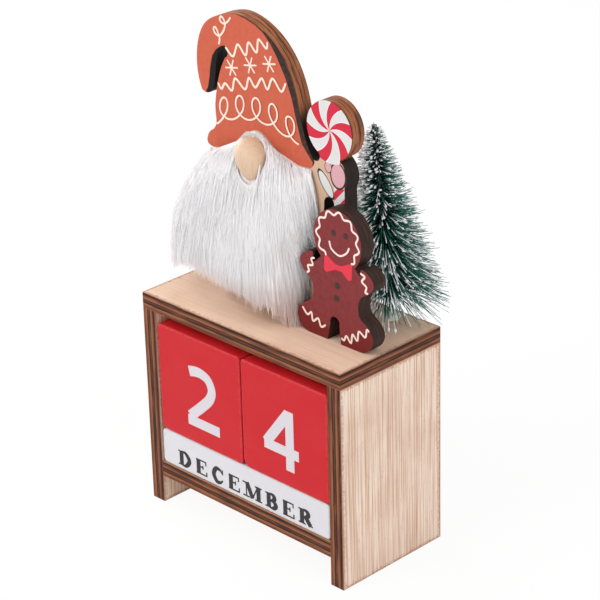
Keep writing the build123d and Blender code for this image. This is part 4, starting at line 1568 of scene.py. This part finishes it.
    def add_undercoat(self, look):
        """The dense short fur under the long hairs."""
        bm = bmesh.new()
        bm.from_mesh(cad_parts["beard_pile"].data)
        bmesh.ops.remove_doubles(bm, verts=bm.verts, dist=self.MERGE * MM)
        bmesh.ops.recalc_face_normals(bm, faces=bm.faces)
        bm.normal_update()
        back = self.pile_high.y - self.BACK_GAP * MM
        for vert, way in [(vert, vert.normal.copy()) for vert in bm.verts]:
            if self.at_nose(vert.co):
                behind = Vector((self.nose_middle.x, vert.co.y, self.nose_middle.z))
                vert.co = vert.co.lerp(behind, self.NOSE_FILL)
                vert.co.y += self.NOSE_SINK * MM
            else:
                vert.co -= way * self.SHRINK * MM
            vert.co.x -= max(vert.co.x - self.LOOSE_SIDE[0] * MM, 0) * self.LOOSE_DRAW
            vert.co.y = min(vert.co.y, back)
            rise = self.FRINGE_SPREAD + self.LOOSE_RISE * self.looseness(vert.co.x)
            low = self.fringe(vert.co.x) + rise * MM
            vert.co.z = min(max(vert.co.z, low), self.brim_limit(vert.co))
        bmesh.ops.recalc_face_normals(bm, faces=bm.faces)
        finish = Finish("beard_undercoat_fur")
        locks = finish.grain((2.2, 2.2, 0.14), 4.0)
        clumps = finish.grain((0.4, 0.4, 0.1), 2.0, 4.0)
        across, _, height = finish.place()
        gaps = across.ramp(*self.LOOSE_SIDE) * (height - BOARD_TOP / MM).ramp(self.LOOSE_HEIGHT, 0.0)
        base = finish.layers(
            look.root,
            (locks.ramp(0.4, 0.7) * 0.8, look.fur),
            (clumps.ramp(0.5, 0.8) * 0.4, LOCK_SHADE),
            (gaps * 0.9, PILE_SHADOW),
        )
        finish.surface(base, 0.8, locks + clumps, 0.3, Specular_IOR_Level=0.2)
        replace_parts(show_bmesh("beard_undercoat", bm, finish), "beard_pile")

    def finish_cloth(self):
        """Woven cloth behind the fur."""
        finish = Finish("beard_cloth_weave")
        x, _, z = finish.place()
        weave = (x * 9.0).math("SINE") * (z * 9.0).math("SINE")
        fuzz = finish.grain(1.5)
        base = finish.layers(
            CLOTH, (weave.ramp(-0.2, 0.8) * 0.4, CLOTH_SHADE), (fuzz.ramp(0.5, 0.8) * 0.3, CLOTH_FUZZ)
        )
        dress("beard_backing", finish.surface(base, 0.85, weave + fuzz, 0.1))


class CALENDAR_OT_tree(bpy.types.Operator):
    """Twists the tree's wire and sets its bristles and flock"""

    bl_idname = "calendar.tree"
    bl_label = "Grow tree"

    # Twisted wire, in millimetres, and how near the two wires nest
    TWIST_PITCH = 3.4
    WIRE_RADIUS = 0.40
    WIRE_STEPS = 10
    WIRE_NEST = 0.98
    # Places of the bristles, as shares of the tree's height, and their reach in millimetres
    START = 0.13
    END = 0.985
    CROWDING = 0.72
    TURN_SPREAD = 0.25
    TIP_REACH = 1.6
    WIDEST = 17.2
    FULL_DEPTH = 46.0
    SPREAD = 0.95
    REACH_SPREAD = (0.78, 1.06)
    BOARD_GAP = 0.25
    PLATE_GAP = 0.4
    # Rise of a bristle for its reach at the foot and its gain to the top, and the droop of its tip
    PITCH = (-0.08, 0.42)
    PITCH_SPREAD = 0.12
    DROOP = (0.08, 0.36)
    DROOP_SPREAD = (0.4, 1.4)
    # Thickness at each ring of a bristle, bare and frosted
    RINGS = 4
    BARE_TAPER = (1.0, 0.95, 0.85, 0.55)
    FROSTED_TAPER = (1.0, 1.0, 1.3, 1.0)
    BRISTLE_SIDES = 3
    RADIUS_SPREAD = (0.75, 1.15)
    # Share of frosted bristles, and their tones; more of them on the lit side and near the top, so that their
    # white paints light there
    FROSTED = 0.48
    LIT_SIDE = 0.24
    LIT_TOP = 0.30
    LIT_START = 0.7
    TONE_START = 0.01
    TONE_SPAN = 0.97
    # Lumps of flock: size in millimetres, place along the last stretch, flatness and length
    LUMP_SIZE = (0.22, 0.5)
    LUMP_PLACE = (0.55, 1.0)
    LUMP_WIDTH = (0.7, 1)
    LUMP_LENGTH = 1.7

    def execute(self, context):
        look = context.scene.calendar_tree
        draw = np.random.default_rng(look.seed)
        low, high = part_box("tree_stem")
        radius = (high.y - low.y) / 2
        self.foot = Vector((high.x - radius, (low.y + high.y) / 2, low.z))
        self.top = Vector((low.x + radius, (low.y + high.y) / 2, high.z))
        self.axis = (self.top - self.foot).normalized()
        self.first = self.axis.cross(BACK).normalized()
        self.second = self.axis.cross(self.first)
        self.add_wire(look)
        self.add_bristles(look, draw)
        self.add_glue()
        return {"FINISHED"}

    def around(self, angle):
        """Way square to the tree's axis at an angle."""
        return self.first * cos(angle) + self.second * sin(angle)

    def add_wire(self, look):
        """Two wires twisted about the tree's axis."""
        curve = bpy.data.curves.new("tree_wire_path", "CURVE")
        curve.dimensions = "3D"
        curve.bevel_depth = self.WIRE_RADIUS * MM
        curve.bevel_resolution = 2
        curve.use_fill_caps = True
        reach = (self.top - self.foot).length
        count = round(reach / (self.TWIST_PITCH * MM) * self.WIRE_STEPS)
        for start in (0, pi):
            spline = curve.splines.new("POLY")
            spline.points.add(count)
            for index, knot in enumerate(spline.points):
                side = self.around(start + 2 * pi * index / self.WIRE_STEPS) * self.WIRE_NEST
                centre = self.foot + self.axis * reach * index / count
                knot.co = (*(centre + side * self.WIRE_RADIUS * MM), 1)
        maker = bpy.data.objects.new("tree_wire_path", curve)
        bpy.context.scene.collection.objects.link(maker)
        mesh = bpy.data.meshes.new_from_object(maker.evaluated_get(bpy.context.evaluated_depsgraph_get()))
        mesh.name = "tree_wire"
        bpy.data.objects.remove(maker)
        bpy.data.curves.remove(curve)
        mesh.materials.clear()
        finish = Finish("twisted_wire")
        dull = finish.grain(1.2, 4.0)
        base = finish.layers(look.wire, (dull.ramp(0.45, 0.75) * 0.7, WIRE_SHADE))
        finish.surface(base, 0.35 + dull * 0.3, dull, 0.03, Metallic=1.0)
        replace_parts(show(mesh, finish), "tree_stem")

    def add_bristles(self, look, draw):
        """Bristles that spiral up the wire, with flock on many tips."""
        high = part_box("tree_bristles")[1]
        board = BOARD_TOP + self.BOARD_GAP * MM
        start = self.foot + self.axis * ((BOARD_TOP - self.foot.z) / self.axis.z)
        tall = (high.z - BOARD_TOP) / self.axis.z
        front = GNOME_BACK + self.PLATE_GAP * MM
        paths, frosted = [], []
        for index in range(look.bristles):
            crowded = ((index + draw.random()) / look.bristles) ** self.CROWDING
            share = min(max(1 - crowded * (1 - self.START), self.START), self.END)
            side = self.around(index * GOLDEN_TURN + draw.normal(0, self.TURN_SPREAD))
            deep = min((1 - share) * tall / (self.FULL_DEPTH * MM), 1.0) ** self.SPREAD
            reach = (self.TIP_REACH + (self.WIDEST - self.TIP_REACH) * deep) * MM
            reach *= draw.uniform(*self.REACH_SPREAD)
            if side.y < 0:
                reach = min(reach, (start.y - front) / -side.y)
            root = start + self.axis * share * tall
            pitch = self.PITCH[0] + self.PITCH[1] * share + draw.normal(0, self.PITCH_SPREAD)
            droop = self.DROOP[0] + self.DROOP[1] * (1 - share) ** 2
            droop *= draw.uniform(*self.DROOP_SPREAD)
            line = []
            for t in np.linspace(0, 1, self.RINGS):
                point = root + side * reach * t + self.axis * reach * (pitch * t - droop * t * t)
                point.z = max(point.z, board)
                line.append(point)
            paths.append(line)
            lit = self.LIT_SIDE * (-side.x - side.y) + self.LIT_TOP * max(share - self.LIT_START, 0.0)
            frosted.append(min(max(draw.random() + lit, 0.0), 1.0))
        paths = np.array(paths)
        frosted = np.array(frosted)
        bare = 1 - self.FROSTED
        taper = np.where((frosted > bare)[:, None], self.FROSTED_TAPER, self.BARE_TAPER)
        radii = look.bristle_radius * draw.uniform(*self.RADIUS_SPREAD, len(paths))[:, None] * taper
        outs = np.broadcast_to(np.array(self.axis), (len(paths), 1, 3))
        tones = self.TONE_START + frosted * self.TONE_SPAN
        mesh = hairs("tree_bristle_spray", paths, outs, radii, self.BRISTLE_SIDES, tones)
        finish = Finish("dyed_bristle")
        tone, along = hair_map(finish)
        flicker = (tone * 41.0).math("FRACT")
        frosty = tone > self.TONE_START + bare * self.TONE_SPAN
        tips = (along + (flicker - 0.5) * 0.3).ramp(0.54, 0.70) * frosty
        base = finish.layers(
            # From painted shade near the wire to the dyed colour towards the tips
            look.inner,
            (along.ramp(0.2, 0.75), look.bristle),
            (flicker.ramp(0.4, 1.0) * 0.4, BRISTLE_SHADE),
            (tips, look.frost),
        )
        finish.surface(base, 0.5 + tips * 0.3, Specular_IOR_Level=0.25)
        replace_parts(show(mesh, finish), "tree_bristles")
        self.add_flock(look, draw, paths[frosted > bare])

    def add_flock(self, look, draw, paths):
        """Small lumps of white flock caught on the bristles."""
        bm = bmesh.new()
        for index in draw.choice(len(paths), size=look.flakes, replace=False):
            tip, before = Vector(paths[index][-1]), Vector(paths[index][-2])
            turn = (tip - before).normalized().to_track_quat("Z", "Y").to_matrix().to_4x4()
            size = draw.uniform(*self.LUMP_SIZE) * MM
            place = Matrix.Translation(before.lerp(tip, draw.uniform(*self.LUMP_PLACE)))
            wide, deep = size * draw.uniform(*self.LUMP_WIDTH), size * draw.uniform(*self.LUMP_WIDTH)
            shape = Matrix.Diagonal((wide, deep, size * self.LUMP_LENGTH, 1))
            bmesh.ops.create_icosphere(bm, subdivisions=1, radius=1, matrix=place @ turn @ shape)
        finish = Finish("white_flock")
        clumps = finish.grain(2.5)
        base = finish.layers(look.frost, (clumps.ramp(0.4, 0.75) * 0.5, FLOCK_SHADE))
        finish.surface(base, 0.85, clumps, 0.1)
        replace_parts(show_bmesh("tree_flock", bm, finish), "tree_bristles")

    def add_glue(self):
        """Cloudy hot-melt glue at the feet of the figures."""
        for node in ("gnome_glue", "gingerbread_glue", "tree_glue"):
            finish = Finish(f"{node}_melt")
            cloud = finish.grain(0.8)
            base = finish.layers(GLUE, (cloud.ramp(0.4, 0.75) * 0.5, GLUE_SHADE))
            dress(node, finish.surface(base, 0.25 + cloud * 0.2, cloud, 0.12, Subsurface_Weight=0.1))


class CALENDAR_OT_stage(bpy.types.Operator):
    """Adds the floor, the lights, the world and the camera"""

    bl_idname = "calendar.stage"
    bl_label = "Set stage"

    FLOOR_SIZE = 4.0
    FLOOR_WHITE = 0.92
    SENSOR_WIDTH = 36
    CLIP_START = 0.01
    # Lamp, the property of its power, its place and its size
    LAMPS = (
        ("key_light", "key_power", (-0.35, -0.95, 0.95), 0.75),
        ("fill_light", "fill_power", (1.05, -0.15, 0.75), 0.85),
        ("rim_light", "rim_power", (-1.15, 0.15, 0.45), 0.70),
    )

    def execute(self, context):
        look = context.scene.calendar_stage
        self.add_floor(look)
        for name, power, place, size in self.LAMPS:
            self.add_light(name, getattr(look, power), place, size)
        self.set_world(context.scene, look)
        self.add_camera(context.scene, look)
        context.scene.view_settings.view_transform = "Standard"
        return {"FINISHED"}

    def add_floor(self, look):
        """A pale floor that keeps the shadow and shows white to the camera."""
        bm = bmesh.new()
        bmesh.ops.create_grid(bm, x_segments=2, y_segments=2, size=self.FLOOR_SIZE / 2)
        mesh = bpy.data.meshes.new("floor")
        bm.to_mesh(mesh)
        bm.free()
        floor = bpy.data.objects.new("floor", mesh)
        bpy.context.scene.collection.objects.link(floor)
        finish = Finish("pale_floor")
        shader = finish.node("ShaderNodeBsdfDiffuse", None, {"Color": look.floor})
        glow = finish.node("ShaderNodeEmission", None, {"Color": WHITE, "Strength": 1.0})
        seen = finish.background_rays() * self.FLOOR_WHITE
        mixed = finish.node("ShaderNodeMixShader", None, {0: seen, 1: shader, 2: glow})
        finish.node("ShaderNodeOutputMaterial", None, {"Surface": mixed})
        mesh.materials.append(finish.material)

    def add_light(self, name, power, place, size):
        """A soft box aimed at the middle of the object."""
        lamp = bpy.data.lights.new(name, "AREA")
        lamp.energy = power
        lamp.size = size
        holder = bpy.data.objects.new(name, lamp)
        aim = Vector((0, 0, CAD_BOX[1].z / 2)) - Vector(place)
        holder.matrix_world = Matrix.Translation(place) @ aim.to_track_quat("-Z", "Y").to_matrix().to_4x4()
        bpy.context.scene.collection.objects.link(holder)

    def set_world(self, scene, look):
        """Even light from all round, seen as white."""
        sky = Finish("studio", bpy.data.worlds)
        scene.world = sky.material
        strength = sky.background_rays() * (1 - look.sky) + look.sky
        background = sky.node("ShaderNodeBackground", None, {"Color": WHITE, "Strength": strength})
        sky.node("ShaderNodeOutputWorld", None, {"Surface": background})

    def add_camera(self, scene, look):
        """The photograph's view."""
        turn, rise = look.azimuth, look.elevation
        back = Vector((sin(turn) * cos(rise), -cos(turn) * cos(rise), sin(rise)))
        right = Vector((cos(turn), sin(turn), 0))
        up = back.cross(right)
        level, tilt = cos(look.roll), sin(look.roll)
        axes = Matrix((right * level + up * tilt, up * level - right * tilt, back)).transposed().to_4x4()
        camera = bpy.data.cameras.new("camera")
        camera.lens = look.lens
        camera.sensor_width = self.SENSOR_WIDTH
        camera.clip_start = self.CLIP_START
        holder = bpy.data.objects.new("camera", camera)
        holder.matrix_world = Matrix.Translation(look.eye) @ axes
        scene.collection.objects.link(holder)
        scene.camera = holder


class CALENDAR_PT_panel(bpy.types.Panel):
    """Lists the steps of the block calendar"""

    bl_idname = "CALENDAR_PT_panel"
    bl_label = "Block Calendar"
    bl_space_type = "VIEW_3D"
    bl_region_type = "UI"
    bl_category = "Calendar"

    def draw(self, context):
        for step in STEPS:
            self.layout.operator(step.bl_idname)


LOOKS = {
    "calendar_cabinet": CabinetLook,
    "calendar_blocks": BlockLook,
    "calendar_gnome": GnomeLook,
    "calendar_gingerbread": GingerbreadLook,
    "calendar_beard": BeardLook,
    "calendar_tree": TreeLook,
    "calendar_stage": StageLook,
}
STEPS = (
    CALENDAR_OT_cabinet,
    CALENDAR_OT_date_cubes,
    CALENDAR_OT_month_bars,
    CALENDAR_OT_gnome,
    CALENDAR_OT_gingerbread,
    CALENDAR_OT_beard,
    CALENDAR_OT_tree,
    CALENDAR_OT_stage,
)
CLASSES = (*LOOKS.values(), *STEPS, CALENDAR_PT_panel)


def register():
    """Registers the classes and hangs the looks on the scene."""
    for item in CLASSES:
        bpy.utils.register_class(item)
    for name, look in LOOKS.items():
        setattr(bpy.types.Scene, name, PointerProperty(type=look))


def unregister():
    """Takes the looks off the scene and unregisters the classes."""
    for name in LOOKS:
        delattr(bpy.types.Scene, name)
    for item in reversed(CLASSES):
        bpy.utils.unregister_class(item)


def main():
    """Builds every piece in order."""
    register()
    for step in STEPS:
        group, name = step.bl_idname.split(".")
        getattr(getattr(bpy.ops, group), name)()


if __name__ == "__main__":
    main()
